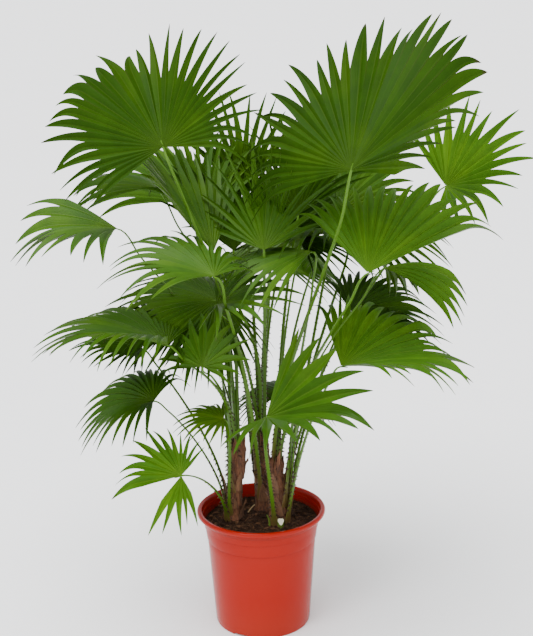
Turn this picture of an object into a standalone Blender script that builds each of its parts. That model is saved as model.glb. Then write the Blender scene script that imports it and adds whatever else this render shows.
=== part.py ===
"""Potted footstool palm: a clump of three fan palm stems in a terracotta coloured plastic nursery pot.

Metres, +Z up. The origin is the centre of the pot's flat underside. The viewer stands at -Y.
Each frond is a petiole and a fan shaped blade. The blade's ribs leave a hub at the petiole's tip,
bend under their weight and carry leaflets that are united near the hub and free towards their tips.
"""

import math
from collections import namedtuple

import bmesh
import bpy
import numpy as np
from mathutils.bvhtree import BVHTree

# Pot
POT_HEIGHT = 0.225
LIP_RADIUS = 0.120
LIP_HEIGHT = 0.0095
LIP_FILLET = 0.001
COLLAR_RADIUS = 0.1075
COLLAR_FLARE = 0.001
SHOULDER_RADIUS = 0.1015
BASE_RADIUS = 0.089
COLLAR_FOOT_HEIGHT = 0.194
SHOULDER_HEIGHT = 0.170
WALL = 0.0024
FOOT_HEIGHT = 0.005
FOOT_WIDTH = 0.008
HUB_FOOT_RADIUS = 0.018
POT_SIDES = 48
NOTCH_WIDTH = 0.030
NOTCH_HEIGHT = 0.0045
NOTCH_BEARINGS = (-118.0, 2.0, 122.0)
# The lip from its inner edge over the top to its outer foot: how far inside its radius and below its top
LIP_PROFILE = (
    (0.0095, 0.0020),
    (0.0075, 0.0003),
    (0.0040, 0.0),
    (0.0012, 0.0014),
    (0.0, 0.0042),
    (0.0004, LIP_HEIGHT - 0.0008),
    (0.0020, LIP_HEIGHT),
)
# The rounded foot from the wall down: how far inside the base's radius and above the floor
FOOT_PROFILE = ((-0.0001, 0.0016), (0.0014, 0.0))

# Soil and the cut end of an old petiole that stands in it
SOIL_LEVEL = 0.203
CUT_STUB_PLACE = (0.036, -0.0475)
CUT_STUB_RADIUS = 0.0045
CUT_STUB_HEIGHT = 0.013
CUT_STUB_SHARES = (0.0, 0.5, 1.0)

# Clearance between neighbouring solids, and how much fuller a limb is taken in the tests for it
GAP = 0.0003
GUARD = 0.0004
TIP_GUARD = 0.0005
FULLER = 1.06
# Bearing and pitch of a direction that no limb runs along
ASKEW = (37.0, 11.0)

# Stems: foot and top in plan, height of the top, radius at the foot and at the top
Stem = namedtuple("Stem", "name foot top height foot_radius top_radius")
STEMS = (
    Stem("left", (-0.053, 0.003), (-0.040, 0.004), 0.325, 0.0165, 0.0100),
    Stem("middle", (0.005, 0.034), (0.002, 0.038), 0.320, 0.0145, 0.0095),
    Stem("right", (0.033, -0.023), (0.030, -0.018), 0.300, 0.0180, 0.0110),
)
STEM_STATIONS = (0.0, 0.08, 0.4, 0.6, 0.8, 1.0)
STEM_SIDES = 20
STEM_FLARE = 0.12
STEM_FLARE_FADE = 9.0
STEM_SWAY = 1.6

# Petioles
PETIOLE_STATIONS = 7
PETIOLE_SIDES = 8
PETIOLE_RADIUS = 0.0026
PETIOLE_RADIUS_PER_REACH = 0.0075
PETIOLE_TAPER = 0.58
PETIOLE_LEAN = 0.16
CROWN_LEAN = 0.03
CROWN_RISE = 0.0009
FIRST_STATION = 0.015
DEEPEST_TIP = 0.006
TIP_STEP = 0.0002
TIP_LENGTH = 0.03
# How much of the chord, the midrib and the blade's normal go into a tip's direction, and how far
# at least the tip points along the normal
TIP_WAY = (0.9, 0.35, 0.25)
FLATTEST_TIP = 0.3
TIP_LIFT = 0.35
OLDEST_BASE_RISE = 0.012
YOUNGEST_BASE_DROP = 0.030
CROWN_SEAT_RADIUS = 0.0056
BASE_PULL = 0.9
TIP_PULL = 0.7
LIMB_CLEARANCE = 0.0009
TURN_STEP = math.radians(9.0)
MOST_TURNS = 20
FINE_STATIONS = 61
STATIONS_AT_STEM = 6
STATIONS_AT_HUB = 4
STEM_TOPS = np.array([0.0, 0.0, 0.3])
# What a turn about the stem, a bend, and a blade of the front or the back that is passed through cost
TURN_COST = 1.5
BEND_COST = 12.0
FRONT_FRONDS = 15
FRONT_COST = 6.0
BACK_COST = 2.0
BENDS = [(swing, bow) for swing in (0.0, 0.02, -0.02, 0.04, -0.04) for bow in (0.0, 0.015, -0.015, 0.03)]

# Blades. The ribs' lengths and joined shares fall off round the fan from a mean, by a swing, at a pace.
RIB_STEPS = 12
RIB_FALL = (0.72, 0.28, 0.85)
JOINED_FALL = (0.80, 0.20, 0.90)
DROOP_POWER = 1.5
# Degrees from leaflet to leaflet on blades of three lengths
LEAFLET_STEPS = ((0.10, 0.20, 0.28), (20.0, 15.5, 13.5))
FEWEST_LEAFLETS = 6
SLOPE_REACH = 0.04
SLOPE_TURN = 0.02
LEAST_FREE = 0.2
BLADE_THICKNESS_SHARE = 0.010
THINNEST_BLADE = 0.0016
PLEAT_SHARE = 0.22
SHORTEST_LEAFLET = 0.16
SEAT_REACH = 0.25
REACH_CHOICES = (1.0, 0.92, 0.84, 0.76, 0.68, 0.60, 0.52, 0.44, 0.36, 0.28, 0.20)

# Fronds, in the order in which they take their space. Each row holds the stem that carries the frond,
# the hub's place, the midrib's bearing and pitch and the blade's roll about it in degrees, the length
# of the longest rib, how far the ribs droop, the angles of the fold along the midrib and of the fan's
# cone, the half angle that the fan spreads, and the share of the ribs' length that is united.
Frond = namedtuple(
    "Frond", "name stem hub bearing pitch roll reach droop fold cone spread united"
)
FRONDS = (
    Frond("crown_left", "middle", (-0.145, -0.160, 0.923), 127, 60, -40, 0.210, 0.13, 18, -9, 112, 0.66),
    Frond("crown_right", "right", (0.154, -0.200, 0.887), 53, 60, -8, 0.280, 0.02, 14, -7, 112, 0.74),
    Frond("right_mid", "right", (0.184, -0.170, 0.712), 20, 14, 20, 0.230, 0.20, 12, 12, 108, 0.70),
    Frond("right_high", "right", (0.342, 0.060, 0.815), -4, 20, 38, 0.180, 0.05, 4, 22, 108, 0.60),
    Frond("low_centre", "right", (0.013, -0.220, 0.482), -20, 14, 24, 0.182, 0.14, 32, -2, 108, 0.60),
    Frond("right_low", "right", (0.144, -0.100, 0.530), 10, -9, 10, 0.224, 0.30, 10, 20, 105, 0.68),
    Frond("low_left", "left", (-0.137, -0.140, 0.348), 195, -10, -46, 0.120, 0.16, 8, 6, 150, 0.58),
    Frond("left_low", "left", (-0.188, -0.040, 0.452), 175, -12, -14, 0.160, 1.15, 15, 12, 135, 0.58),
    Frond("left_long", "left", (-0.152, -0.140, 0.586), 188, 10, 3, 0.228, 0.65, 16, 8, 125, 0.60),
    Frond("left_high", "left", (-0.237, -0.060, 0.772), 186, 8, -15, 0.180, 0.50, 22, -2, 108, 0.62),
    Frond("spear_left", "middle", (-0.072, -0.088, 0.733), 146, 32, 4, 0.212, 0.02, 10, 22, 58, 0.62),
    Frond("mid_left", "middle", (-0.067, -0.200, 0.718), 190, 15, -14, 0.185, 0.50, 8, 6, 143, 0.50),
    Frond("left_mid", "left", (-0.216, 0.060, 0.521), 176, 8, -19, 0.130, 0.30, 10, 10, 105, 0.60),
    Frond("right_drape", "right", (0.222, -0.050, 0.692), 10, 19, 16, 0.168, 1.20, -30, -8, 75, 0.60),
    Frond("small_low", "left", (-0.063, -0.060, 0.422), 188, 4, -12, 0.090, 0.60, 8, 4, 100, 0.50),
    Frond("spear_mid", "middle", (0.014, -0.090, 0.736), 92, 64, -5, 0.195, 0.08, -14, 4, 66, 0.38),
    Frond("top_back", "middle", (-0.023, 0.120, 0.800), 75, 76, 0, 0.180, 0.10, 10, 10, 50, 0.50),
    Frond("flat_right", "right", (0.096, -0.080, 0.730), 206, -6, -6, 0.170, 0.45, -5, 2, 66, 0.58),
    Frond("right_dark", "right", (0.172, 0.060, 0.585), 12, 0, 20, 0.172, 0.40, 5, 6, 105, 0.60),
    Frond("under_left", "left", (-0.072, -0.015, 0.630), 205, 0, -28, 0.205, 0.60, -5, 0, 135, 0.58),
    Frond("dark_left", "left", (-0.086, 0.100, 0.577), 205, 15, -20, 0.165, 0.90, -20, 5, 115, 0.55),
    Frond("crown_under", "middle", (-0.178, 0.040, 0.824), 157, 16, -10, 0.160, 0.70, -10, 0, 125, 0.60),
    Frond("back_top", "right", (0.145, 0.100, 0.760), 70, 50, 0, 0.190, 0.40, -10, 0, 125, 0.62),
    Frond("back_left", "left", (-0.125, 0.180, 0.770), 118, 42, 0, 0.210, 0.50, -12, 0, 130, 0.62),
    Frond("back_middle", "middle", (0.026, 0.260, 0.640), 90, 14, 0, 0.225, 0.80, -12, 0, 130, 0.62),
    Frond("back_right", "right", (0.190, 0.210, 0.700), 48, 24, 0, 0.210, 0.70, -12, 0, 130, 0.62),
    Frond("back_low", "middle", (0.050, 0.140, 0.400), 85, 10, 0, 0.150, 0.80, -10, 0, 120, 0.60),
)
# Leaflets that are missing from a blade, as a range of angles from its midrib
RIFTS = {"low_left": (-42.0, 2.0)}
# Fans that end sooner on one side: the angles from the midrib between which their leaflets lie
EDGES = {
    "right_mid": (-109.0, 8.0),
    "right_drape": (-76.0, 42.0),
    "low_centre": (-76.0, 109.0),
    "left_long": (-82.0, 126.0),
    "mid_left": (-50.0, 144.0),
    "low_left": (-98.0, 151.0),
    "right_low": (-106.0, 80.0),
    "right_dark": (-106.0, 84.0),
    "left_low": (-105.0, 136.0),
    "left_high": (-84.0, 36.0),
    "flat_right": (-45.0, 66.0),
    "crown_under": (-48.0, 125.0),
    "back_left": (-70.0, 130.0),
    "crown_right": (-113.0, 101.0),
}
# Joined share of the leaves whose leaflets part unevenly: the greatest share, the angle from the
# midrib where it lies in degrees, and how much of it is lost far from there
JOINED = {
    "crown_left": (0.80, -32.0, 0.33),
    "crown_right": (0.82, 29.0, 0.22),
    "right_mid": (0.79, 0.0, 0.14),
    "right_drape": (0.76, 0.0, 0.12),
}
JOINED_WIDTH = 40.0
# Sides of a blade that fold up: the angles from the midrib between which they rise and between
# which they sink again, and by how many degrees they stand up
CURLS = {"crown_right": (54.0, 80.0, 97.0, 107.0, 15.0)}
# The youngest fronds rise from the top of their stem
YOUNGEST = ("spear_left", "spear_mid", "top_back", "crown_right", "right_mid", "left_high", "under_left")

UP = np.array([0.0, 0.0, 1.0])


def unit(vectors):
    """Vectors of length one with the same directions."""
    return vectors / np.linalg.norm(vectors, axis=-1, keepdims=True)


def direction(bearing, pitch):
    """Unit vector at a bearing in plan and a pitch above the level, in degrees."""
    turn, rise = math.radians(bearing), math.radians(pitch)
    return np.array([math.cos(turn) * math.cos(rise), math.sin(turn) * math.cos(rise), math.sin(rise)])


def material(name, colour, roughness):
    """Plain shader with a colour and a roughness."""
    made = bpy.data.materials.new(name)
    made.use_nodes = True
    shader = made.node_tree.nodes["Principled BSDF"]
    shader.inputs["Base Color"].default_value = (*colour, 1.0)
    shader.inputs["Roughness"].default_value = roughness
    return made


def add_object(name, data, collection, finish):
    """Object for a mesh or curve, in a collection and with one material."""
    made = bpy.data.objects.new(name, data)
    data.materials.append(finish)
    collection.objects.link(made)
    return made


def mesh_from(name, points, faces):
    """Mesh with these points and faces."""
    mesh = bpy.data.meshes.new(name)
    mesh.from_pydata([tuple(point) for point in points], [], faces)
    mesh.validate()
    return mesh


def turned(name, profile, collection, finish):
    """Solid turned about +Z from a profile of radius and height that runs down its outer side."""
    points = [(radius, 0.0, height) for radius, height in profile]
    mesh = bpy.data.meshes.new(name)
    mesh.from_pydata(points, [(i, i + 1) for i in range(len(points) - 1)], [])
    made = add_object(name, mesh, collection, finish)
    screw = made.modifiers.new("Turn", "SCREW")
    screw.steps = screw.render_steps = POT_SIDES
    screw.use_merge_vertices = True
    screw.merge_threshold = 1e-5
    return made


def outer_wall(height):
    """Outer radius of the pot's wall at a height."""
    heights = (0.0, SHOULDER_HEIGHT, COLLAR_FOOT_HEIGHT, POT_HEIGHT)
    radii = (BASE_RADIUS, SHOULDER_RADIUS, COLLAR_RADIUS - COLLAR_FLARE, COLLAR_RADIUS + COLLAR_FLARE)
    return float(np.interp(height, heights, radii))


def make_pot(collection, cutters, finish):
    """Pot with a rolled lip, a collar, a tapering wall and a notched foot ring."""
    lip_foot = POT_HEIGHT - LIP_HEIGHT
    floor_top = FOOT_HEIGHT + WALL
    ring_inner = BASE_RADIUS - FOOT_WIDTH
    inner = [
        (outer_wall(height) - WALL, height)
        for height in (floor_top, SHOULDER_HEIGHT, COLLAR_FOOT_HEIGHT, lip_foot)
    ]
    lip = [(LIP_RADIUS - inset, POT_HEIGHT - drop) for inset, drop in LIP_PROFILE]
    collar_top = lip_foot - 2 * LIP_FILLET
    outer = [(outer_wall(lip_foot) + LIP_FILLET, lip_foot)]
    outer += [(outer_wall(height), height) for height in (collar_top, COLLAR_FOOT_HEIGHT, SHOULDER_HEIGHT)]
    foot = [(BASE_RADIUS - inset, height) for inset, height in FOOT_PROFILE] + [
        (ring_inner, 0.0),
        (ring_inner, FOOT_HEIGHT),
        (HUB_FOOT_RADIUS, FOOT_HEIGHT),
        (HUB_FOOT_RADIUS, 0.0),
        (0.0, 0.0),
    ]
    pot = turned("pot", [(0.0, floor_top)] + inner + lip + outer + foot, collection, finish)
    for number, bearing in enumerate(NOTCH_BEARINGS):
        mesh = bpy.data.meshes.new(f"notch_{number}")
        shape = bmesh.new()
        bmesh.ops.create_cube(shape, size=1.0)
        shape.to_mesh(mesh)
        shape.free()
        cutter = bpy.data.objects.new(mesh.name, mesh)
        cutters.objects.link(cutter)
        cutter.scale = (4 * FOOT_WIDTH, NOTCH_WIDTH, 2 * NOTCH_HEIGHT)
        cutter.rotation_euler.z = math.radians(bearing)
        cutter.location = BASE_RADIUS * direction(bearing, 0.0)
        cutter.hide_render = True
        cutter.display_type = "WIRE"
        cut = pot.modifiers.new(f"Notch {number}", "BOOLEAN")
        cut.operation = "DIFFERENCE"
        cut.object = cutter


def make_soil(collection, finish):
    """Soil that fills the pot up to its level, clear of the wall and the floor."""
    bottom = FOOT_HEIGHT + WALL + GAP
    side = [
        (outer_wall(height) - WALL - GAP, height)
        for height in (SOIL_LEVEL, COLLAR_FOOT_HEIGHT, SHOULDER_HEIGHT, bottom)
    ]
    turned("soil", [(0.0, SOIL_LEVEL)] + side + [(0.0, bottom)], collection, finish)


def tube(name, path, radii, sides, collection, finish):
    """Round limb along a path, with a radius at each of its points and flat ends."""
    curve = bpy.data.curves.new(name, "CURVE")
    curve.dimensions = "3D"
    curve.bevel_depth = 1.0
    curve.bevel_resolution = (sides - 4) // 2
    curve.use_fill_caps = True
    spline = curve.splines.new("POLY")
    spline.points.add(len(path) - 1)
    spline.points.foreach_set("co", np.column_stack([path, np.ones(len(path))]).ravel())
    spline.points.foreach_set("radius", np.asarray(radii, float))
    return add_object(name, curve, collection, finish)


def tube_faces(path, radii):
    """Points and faces of a tube's side and ends, a little fuller than the tube, for clearance tests."""
    tangents = unit(np.gradient(path, axis=0))
    across = unit(np.cross(tangents, direction(*ASKEW)))
    other = np.cross(tangents, across)
    angles = np.arange(PETIOLE_SIDES) * 2 * math.pi / PETIOLE_SIDES
    ring = np.cos(angles)[None, :, None] * across[:, None] + np.sin(angles)[None, :, None] * other[:, None]
    points = path[:, None] + ring * (np.asarray(radii)[:, None, None] * FULLER)
    number = np.arange(len(path) * PETIOLE_SIDES).reshape(len(path), PETIOLE_SIDES)
    turned_on = np.roll(number, -1, axis=1)
    quads = np.stack([number[:-1], turned_on[:-1], turned_on[1:], number[1:]], axis=-1).reshape(-1, 4)
    ends = [tuple(number[0]), tuple(number[-1])]
    return points.reshape(-1, 3), [tuple(quad) for quad in quads] + ends


def stem_line(stem, shares):
    """Points on a stem's axis: upright at the foot and the top, and leaning over between them."""
    leans = np.array(STEM_STATIONS) ** STEM_SWAY
    leans[1], leans[-2] = 0.0, 1.0
    lean = np.interp(shares, STEM_STATIONS, leans)
    foot, top = np.array(stem.foot), np.array(stem.top)
    plan = foot + lean[:, None] * (top - foot)
    rise = SOIL_LEVEL + GAP + np.asarray(shares) * (stem.height - SOIL_LEVEL - GAP)
    return np.column_stack([plan, rise])


def stem_radius(stem, shares):
    """Radius of a stem: flared at the foot, then a slow taper."""
    stations = np.array(STEM_STATIONS)
    flare = 1 + STEM_FLARE * np.exp(-STEM_FLARE_FADE * stations)
    radii = (stem.foot_radius + (stem.top_radius - stem.foot_radius) * stations) * flare
    return np.interp(shares, stations, radii)


def cut_stub_line():
    """Path and radii of the cut end of an old petiole that stands in the soil near the right stem."""
    foot = np.array([*CUT_STUB_PLACE, SOIL_LEVEL + GAP])
    path = foot + np.outer(CUT_STUB_SHARES, UP * CUT_STUB_HEIGHT)
    return path, np.full(len(path), CUT_STUB_RADIUS)


def frond_axes(frond):
    """Midrib, upper normal and side direction of a blade at its hub."""
    midrib = direction(frond.bearing, frond.pitch)
    level_normal = unit(UP - (UP @ midrib) * midrib)
    roll = math.radians(frond.roll)
    normal = math.cos(roll) * level_normal + math.sin(roll) * np.cross(midrib, level_normal)
    return midrib, normal, np.cross(midrib, normal)


def fall(angles, mean, swing, pace):
    """Value that is highest at the midrib and falls off round to the base."""
    return mean + swing * np.cos(pace * angles)


def rib_length(frond, angles):
    """Length of the rib at an angle from the midrib: longest at the midrib, shorter round to the base."""
    return frond.reach * fall(angles, *RIB_FALL)


def united_share(frond, angles):
    """Share of a rib's length along which its leaflet is joined to the next one."""
    if frond.name in JOINED:
        most, where, loss = JOINED[frond.name]
        away = (np.degrees(angles) - where) / JOINED_WIDTH
        return most * (1 - loss * (1 - np.exp(-(away**2))))
    return frond.united * fall(angles, *JOINED_FALL)


def rib_paths(frond, angles):
    """Ribs from the hub: each starts in the folded fan and turns down more and more with its length."""
    midrib, normal, side = frond_axes(frond)
    rise = math.radians(frond.cone) + math.radians(frond.fold) * np.abs(np.sin(angles))
    if frond.name in CURLS:
        *turns, curl = CURLS[frond.name]
        rise = rise + math.radians(curl) * np.interp(np.degrees(angles), turns, (0.0, 1.0, 1.0, 0.0))
    flat = np.cos(angles)[:, None] * midrib + np.sin(angles)[:, None] * side
    start = flat * np.cos(rise)[:, None] + np.sin(rise)[:, None] * normal
    middles = (np.arange(RIB_STEPS) + 0.5) / RIB_STEPS
    sag = frond.droop * middles**DROOP_POWER
    headings = unit(start[:, None, :] - sag[None, :, None] * UP)
    steps = headings * (rib_length(frond, angles) / RIB_STEPS)[:, None, None]
    path = np.concatenate([np.zeros((len(angles), 1, 3)), np.cumsum(steps, axis=1)], axis=1)
    return np.array(frond.hub) + path


def on_ribs(paths, shares):
    """The point of each rib at its share of the rib's length."""
    place = np.clip(np.asarray(shares), 0.0, 1.0) * RIB_STEPS
    low = np.minimum(place.astype(int), RIB_STEPS - 1)
    rest = (place - low)[:, None]
    rows = np.arange(len(paths))
    return paths[rows, low] * (1 - rest) + paths[rows, low + 1] * rest


def leaflet_step(frond):
    """Angle between neighbouring leaflets: a large blade has more of them."""
    return math.radians(float(np.interp(frond.reach, *LEAFLET_STEPS)))


def leaflet_angles(frond):
    """Angles of the leaflets' edges and midribs in turn, from one basal edge round to the other."""
    spread = math.radians(frond.spread)
    count = max(FEWEST_LEAFLETS, round(2 * spread / leaflet_step(frond)))
    return np.linspace(-spread, spread, 2 * count + 1)


def blade_thickness(frond):
    """Thickness of a blade, a hundredth of its length."""
    return max(THINNEST_BLADE, BLADE_THICKNESS_SHARE * frond.reach)


def blade_points(frond, angles, reaches):
    """Hub, half way ring, ring where the leaflets part, and tips, with the surface's normal at each."""
    paths, ahead, behind = (rib_paths(frond, angles + turn) for turn in (0.0, SLOPE_TURN, -SLOPE_TURN))
    own = np.repeat(reaches, 2)
    limit = np.concatenate([own[:1], np.minimum(own[:-1], own[1:]), own[-1:]])
    parting = np.minimum(united_share(frond, angles), (1 - LEAST_FREE) * limit)
    step = angles[1] - angles[0]
    fold = np.where(np.arange(len(angles)) % 2, -1.0, 1.0)
    points = [np.array([frond.hub])]
    normals = [frond_axes(frond)[1][None]]
    for share in (0.5 * parting, parting):
        along = on_ribs(paths, np.minimum(share + SLOPE_REACH, 1.0)) - on_ribs(paths, share - SLOPE_REACH)
        across = on_ribs(ahead, share) - on_ribs(behind, share)
        normal = unit(np.cross(across, along))
        depth = PLEAT_SHARE * step * share * rib_length(frond, angles) * fold
        points.append(on_ribs(paths, share) + normal * depth[:, None])
        normals.append(normal)
    middle = slice(1, None, 2)
    points.append(on_ribs(paths[middle], reaches))
    normals.append(normals[-1][middle])
    return np.concatenate(points), np.concatenate(normals)


def leaflet_faces(count, first, last):
    """Triangles of the leaflets from first to last, for the points that blade_points gives."""
    ring = 2 * count + 1
    inner, outer, tips = 1, 1 + ring, 1 + 2 * ring
    faces = []
    for leaflet in range(first, last + 1):
        for half in (2 * leaflet, 2 * leaflet + 1):
            near = (inner + half, inner + half + 1)
            far = (outer + half, outer + half + 1)
            ridge = half % 2 == 0
            faces.append((0, near[1], near[0]))
            if ridge:
                faces += [(near[0], near[1], far[0]), (near[1], far[1], far[0])]
            else:
                faces += [(near[0], near[1], far[1]), (near[0], far[1], far[0])]
            faces.append((far[0], far[1], tips + leaflet))
    return faces


def shell_faces(points, normals, faces, reserve):
    """Both sides of a sheet, half its thickness and a reserve away from it, joined round every triangle."""
    upper, lower = points + normals * reserve, points - normals * reserve
    count = len(points)
    under = [tuple(corner + count for corner in face) for face in faces]
    walls = [
        (a, b, b + count, a + count)
        for face in faces
        for a, b in zip(face, face[1:] + face[:1])
    ]
    return np.concatenate([upper, lower]), list(faces) + under + walls


def tree_of(parts):
    """Search tree over the faces of several parts."""
    points, faces, start = [], [], 0
    for part_points, part_faces in parts:
        points += [tuple(point) for point in part_points]
        faces += [tuple(corner + start for corner in face) for face in part_faces]
        start += len(part_points)
    return BVHTree.FromPolygons(points, faces)


def petiole_radii(frond):
    """Radius of a petiole at its base and at its tip."""
    base = PETIOLE_RADIUS + PETIOLE_RADIUS_PER_REACH * frond.reach
    return base, PETIOLE_TAPER * base


def petiole_line(base, base_way, tip, tip_way, swing, shares):
    """Smooth curve from a base to a tip that leaves and arrives in given directions."""
    chord = np.linalg.norm(tip - base)
    s = np.asarray(shares)[:, None]
    curve = (
        (2 * s**3 - 3 * s**2 + 1) * base
        + (s**3 - 2 * s**2 + s) * base_way * chord * BASE_PULL
        + (3 * s**2 - 2 * s**3) * tip
        + (s**3 - s**2) * tip_way * chord * TIP_PULL
    )
    return curve + np.sin(math.pi * s) ** 2 * swing


def tip_seat(frond):
    """Place and direction of a petiole's tip, under the hub and clear of the blade's lower face."""
    midrib, normal, _ = frond_axes(frond)
    stem = next(stem for stem in STEMS if stem.name == frond.stem)
    hub = np.array(frond.hub)
    chord = unit(hub - np.array([*stem.top, stem.height]))
    way = unit(TIP_WAY[0] * chord + TIP_WAY[1] * midrib + TIP_WAY[2] * normal)
    if way @ normal < FLATTEST_TIP:
        way = unit(way + (TIP_LIFT - way @ normal) * normal)
    radii = np.full(3, petiole_radii(frond)[1])
    angles = leaflet_angles(frond)
    count = len(angles) // 2
    points, normals = blade_points(frond, angles, np.full(count, SEAT_REACH))
    reserve = 0.5 * blade_thickness(frond) + TIP_GUARD
    for left_out in range(count // 2):
        faces = leaflet_faces(count, left_out, count - 1 - left_out)
        shell = tree_of([shell_faces(points, normals, faces, reserve)])
        for drop in np.arange(reserve, reserve + DEEPEST_TIP, TIP_STEP):
            tip = hub - normal * drop
            path = np.array([tip - way * TIP_LENGTH, tip - way * 0.5 * TIP_LENGTH, tip])
            if not shell.overlap(tree_of([tube_faces(path, radii)])):
                return tip, way
    raise ValueError(f"no seat under the hub of {frond.name}")


def stem_base_seats(frond, order, total):
    """Possible places and directions of a petiole's base on its stem."""
    stem = next(stem for stem in STEMS if stem.name == frond.stem)
    radius = petiole_radii(frond)[0]
    wanted = math.atan2(frond.hub[1] - stem.top[1], frond.hub[0] - stem.top[0])
    turns = [side * TURN_STEP * number for number in range(MOST_TURNS) for side in (1, -1)]
    for turn in turns[1:]:
        outward = np.array([math.cos(wanted + turn), math.sin(wanted + turn), 0.0])
        if frond.name in YOUNGEST:
            top = np.array([*stem.top, stem.height + CROWN_RISE])
            yield abs(turn), top + outward * CROWN_SEAT_RADIUS, unit(UP + CROWN_LEAN * outward)
            continue
        lowest = SOIL_LEVEL + OLDEST_BASE_RISE
        highest = stem.height - YOUNGEST_BASE_DROP
        height = lowest + (highest - lowest) * order / max(1, total - 1)
        share = (height - SOIL_LEVEL) / (stem.height - SOIL_LEVEL)
        axis = stem_line(stem, [share])[0]
        reach = float(stem_radius(stem, share)) + radius + GAP
        yield abs(turn), axis + outward * reach, unit(UP + PETIOLE_LEAN * outward)


def clear_of(path, radii, placed, keep):
    """Whether a limb keeps a distance from the limbs that are already placed."""
    for other_path, other_radii in placed:
        apart = np.linalg.norm(path[:, None] - other_path[None], axis=2)
        if (apart - radii[:, None] - other_radii[None]).min() < keep:
            return False
    return True


def blades_pierced(path, trees, own):
    """Cost of the other fronds' blades that a petiole passes through: the fronds in front count for more."""
    cost = 0.0
    for number, tree in enumerate(trees):
        if number == own:
            continue
        for start, end in zip(path[:-1:2], path[2::2]):
            reach = end - start
            length = float(np.linalg.norm(reach))
            if tree.ray_cast(tuple(start), tuple(reach), length)[0] is not None:
                cost += FRONT_COST if number < FRONT_FRONDS else BACK_COST
    return cost


def placing_order(pair):
    """Petioles from the stem tops take their way first, then the others from the lowest hub up."""
    frond = pair[1]
    return frond.name not in YOUNGEST, frond.hub[2]


def plan_petioles():
    """Path and radii of every petiole, each turned about its stem until it is clear of the earlier ones."""
    trees = []
    for frond in FRONDS:
        angles = leaflet_angles(frond)
        count = len(angles) // 2
        points, _ = blade_points(frond, angles, np.ones(count))
        trees.append(tree_of([(points, leaflet_faces(count, 0, count - 1))]))
    fine = np.linspace(0.0, 1.0, FINE_STATIONS)
    stems = [(stem_line(stem, fine), stem_radius(stem, fine)) for stem in STEMS]
    order = {}
    for stem in STEMS:
        own = [frond for frond in FRONDS if frond.stem == stem.name and frond.name not in YOUNGEST]
        own.sort(key=lambda frond: frond.hub[2])
        order.update({frond.name: (rank, len(own)) for rank, frond in enumerate(own)})
    placed, plans = [cut_stub_line()], {}
    for number, frond in sorted(enumerate(FRONDS), key=placing_order):
        tip, tip_way = tip_seat(frond)
        base_radius, tip_radius = petiole_radii(frond)
        radii = base_radius + (tip_radius - base_radius) * fine
        chord = unit(tip - STEM_TOPS)
        sideways = unit(np.cross(chord, UP))
        upwards = np.cross(sideways, chord)
        best = None
        for turn, base, base_way in stem_base_seats(frond, *order.get(frond.name, (0, 1))):
            for swing, bow in BENDS:
                bend = swing * sideways + bow * upwards
                cost = TURN_COST * turn + BEND_COST * (abs(swing) + abs(bow))
                if best and cost >= best[0]:
                    continue
                path = petiole_line(base, base_way, tip, tip_way, bend, fine)
                if not clear_of(path, radii, placed, LIMB_CLEARANCE):
                    continue
                if not clear_of(path[STATIONS_AT_STEM:], radii[STATIONS_AT_STEM:], stems, 0.0):
                    continue
                cost += blades_pierced(path[:-STATIONS_AT_HUB], trees, number)
                if best is None or cost < best[0]:
                    best = (cost, path, base, base_way, tip, tip_way, bend)
        if best is None:
            raise ValueError(f"no clear way for the petiole of {frond.name}")
        placed.append((best[1], radii))
        shares = np.append(0.0, np.linspace(0.0, 1.0, PETIOLE_STATIONS))
        shares[1] = FIRST_STATION
        path = petiole_line(*best[2:], shares)
        plans[frond.name] = (path, base_radius + (tip_radius - base_radius) * shares)
    return plans


def leaflet_reaches(frond, obstacles):
    """First and last leaflet, and how far each leaflet reaches before it would touch another piece."""
    angles = leaflet_angles(frond)
    count = len(angles) // 2
    reserve = 0.5 * blade_thickness(frond) + GUARD
    middles = np.degrees(angles[1::2])
    rift = RIFTS.get(frond.name, (1.0, -1.0))
    reaches = np.full(count, SHORTEST_LEAFLET)
    fits = np.zeros(count, bool)
    waiting = set(range(count))
    for choice in REACH_CHOICES + (SHORTEST_LEAFLET,):
        points, normals = blade_points(frond, angles, np.full(count, choice))
        for leaflet in sorted(waiting):
            shell = tree_of([shell_faces(points, normals, leaflet_faces(count, leaflet, leaflet), reserve)])
            if not shell.overlap(obstacles):
                reaches[leaflet] = choice
                fits[leaflet] = True
                waiting.discard(leaflet)
    reaches[(middles > rift[0]) & (middles < rift[1])] = SHORTEST_LEAFLET
    edges = EDGES.get(frond.name, (-180.0, 180.0))
    fits &= (middles > edges[0]) & (middles < edges[1])
    first = last = count // 2
    if not fits[first]:
        raise ValueError(f"no room at the hub of {frond.name}")
    while first > 0 and fits[first - 1]:
        first -= 1
    while last < count - 1 and fits[last + 1]:
        last += 1
    return first, last, reaches


def make_blade(frond, obstacles, collection, finish):
    """Pleated fan of united leaflets with free tips, as a thin solid. Returns its faces for later tests."""
    angles = leaflet_angles(frond)
    first, last, reaches = leaflet_reaches(frond, obstacles)
    points, normals = blade_points(frond, angles, reaches)
    faces = leaflet_faces(len(reaches), first, last)
    used = sorted({corner for face in faces for corner in face})
    place = {corner: number for number, corner in enumerate(used)}
    faces = [tuple(place[corner] for corner in face) for face in faces]
    points, normals = points[used], normals[used]
    sheet = mesh_from(f"blade_{frond.name}", points, faces)
    blade = add_object(sheet.name, sheet, collection, finish)
    wall = blade.modifiers.new("Thickness", "SOLIDIFY")
    wall.thickness = blade_thickness(frond)
    wall.offset = 0.0
    return shell_faces(points, normals, faces, 0.5 * blade_thickness(frond))


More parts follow.
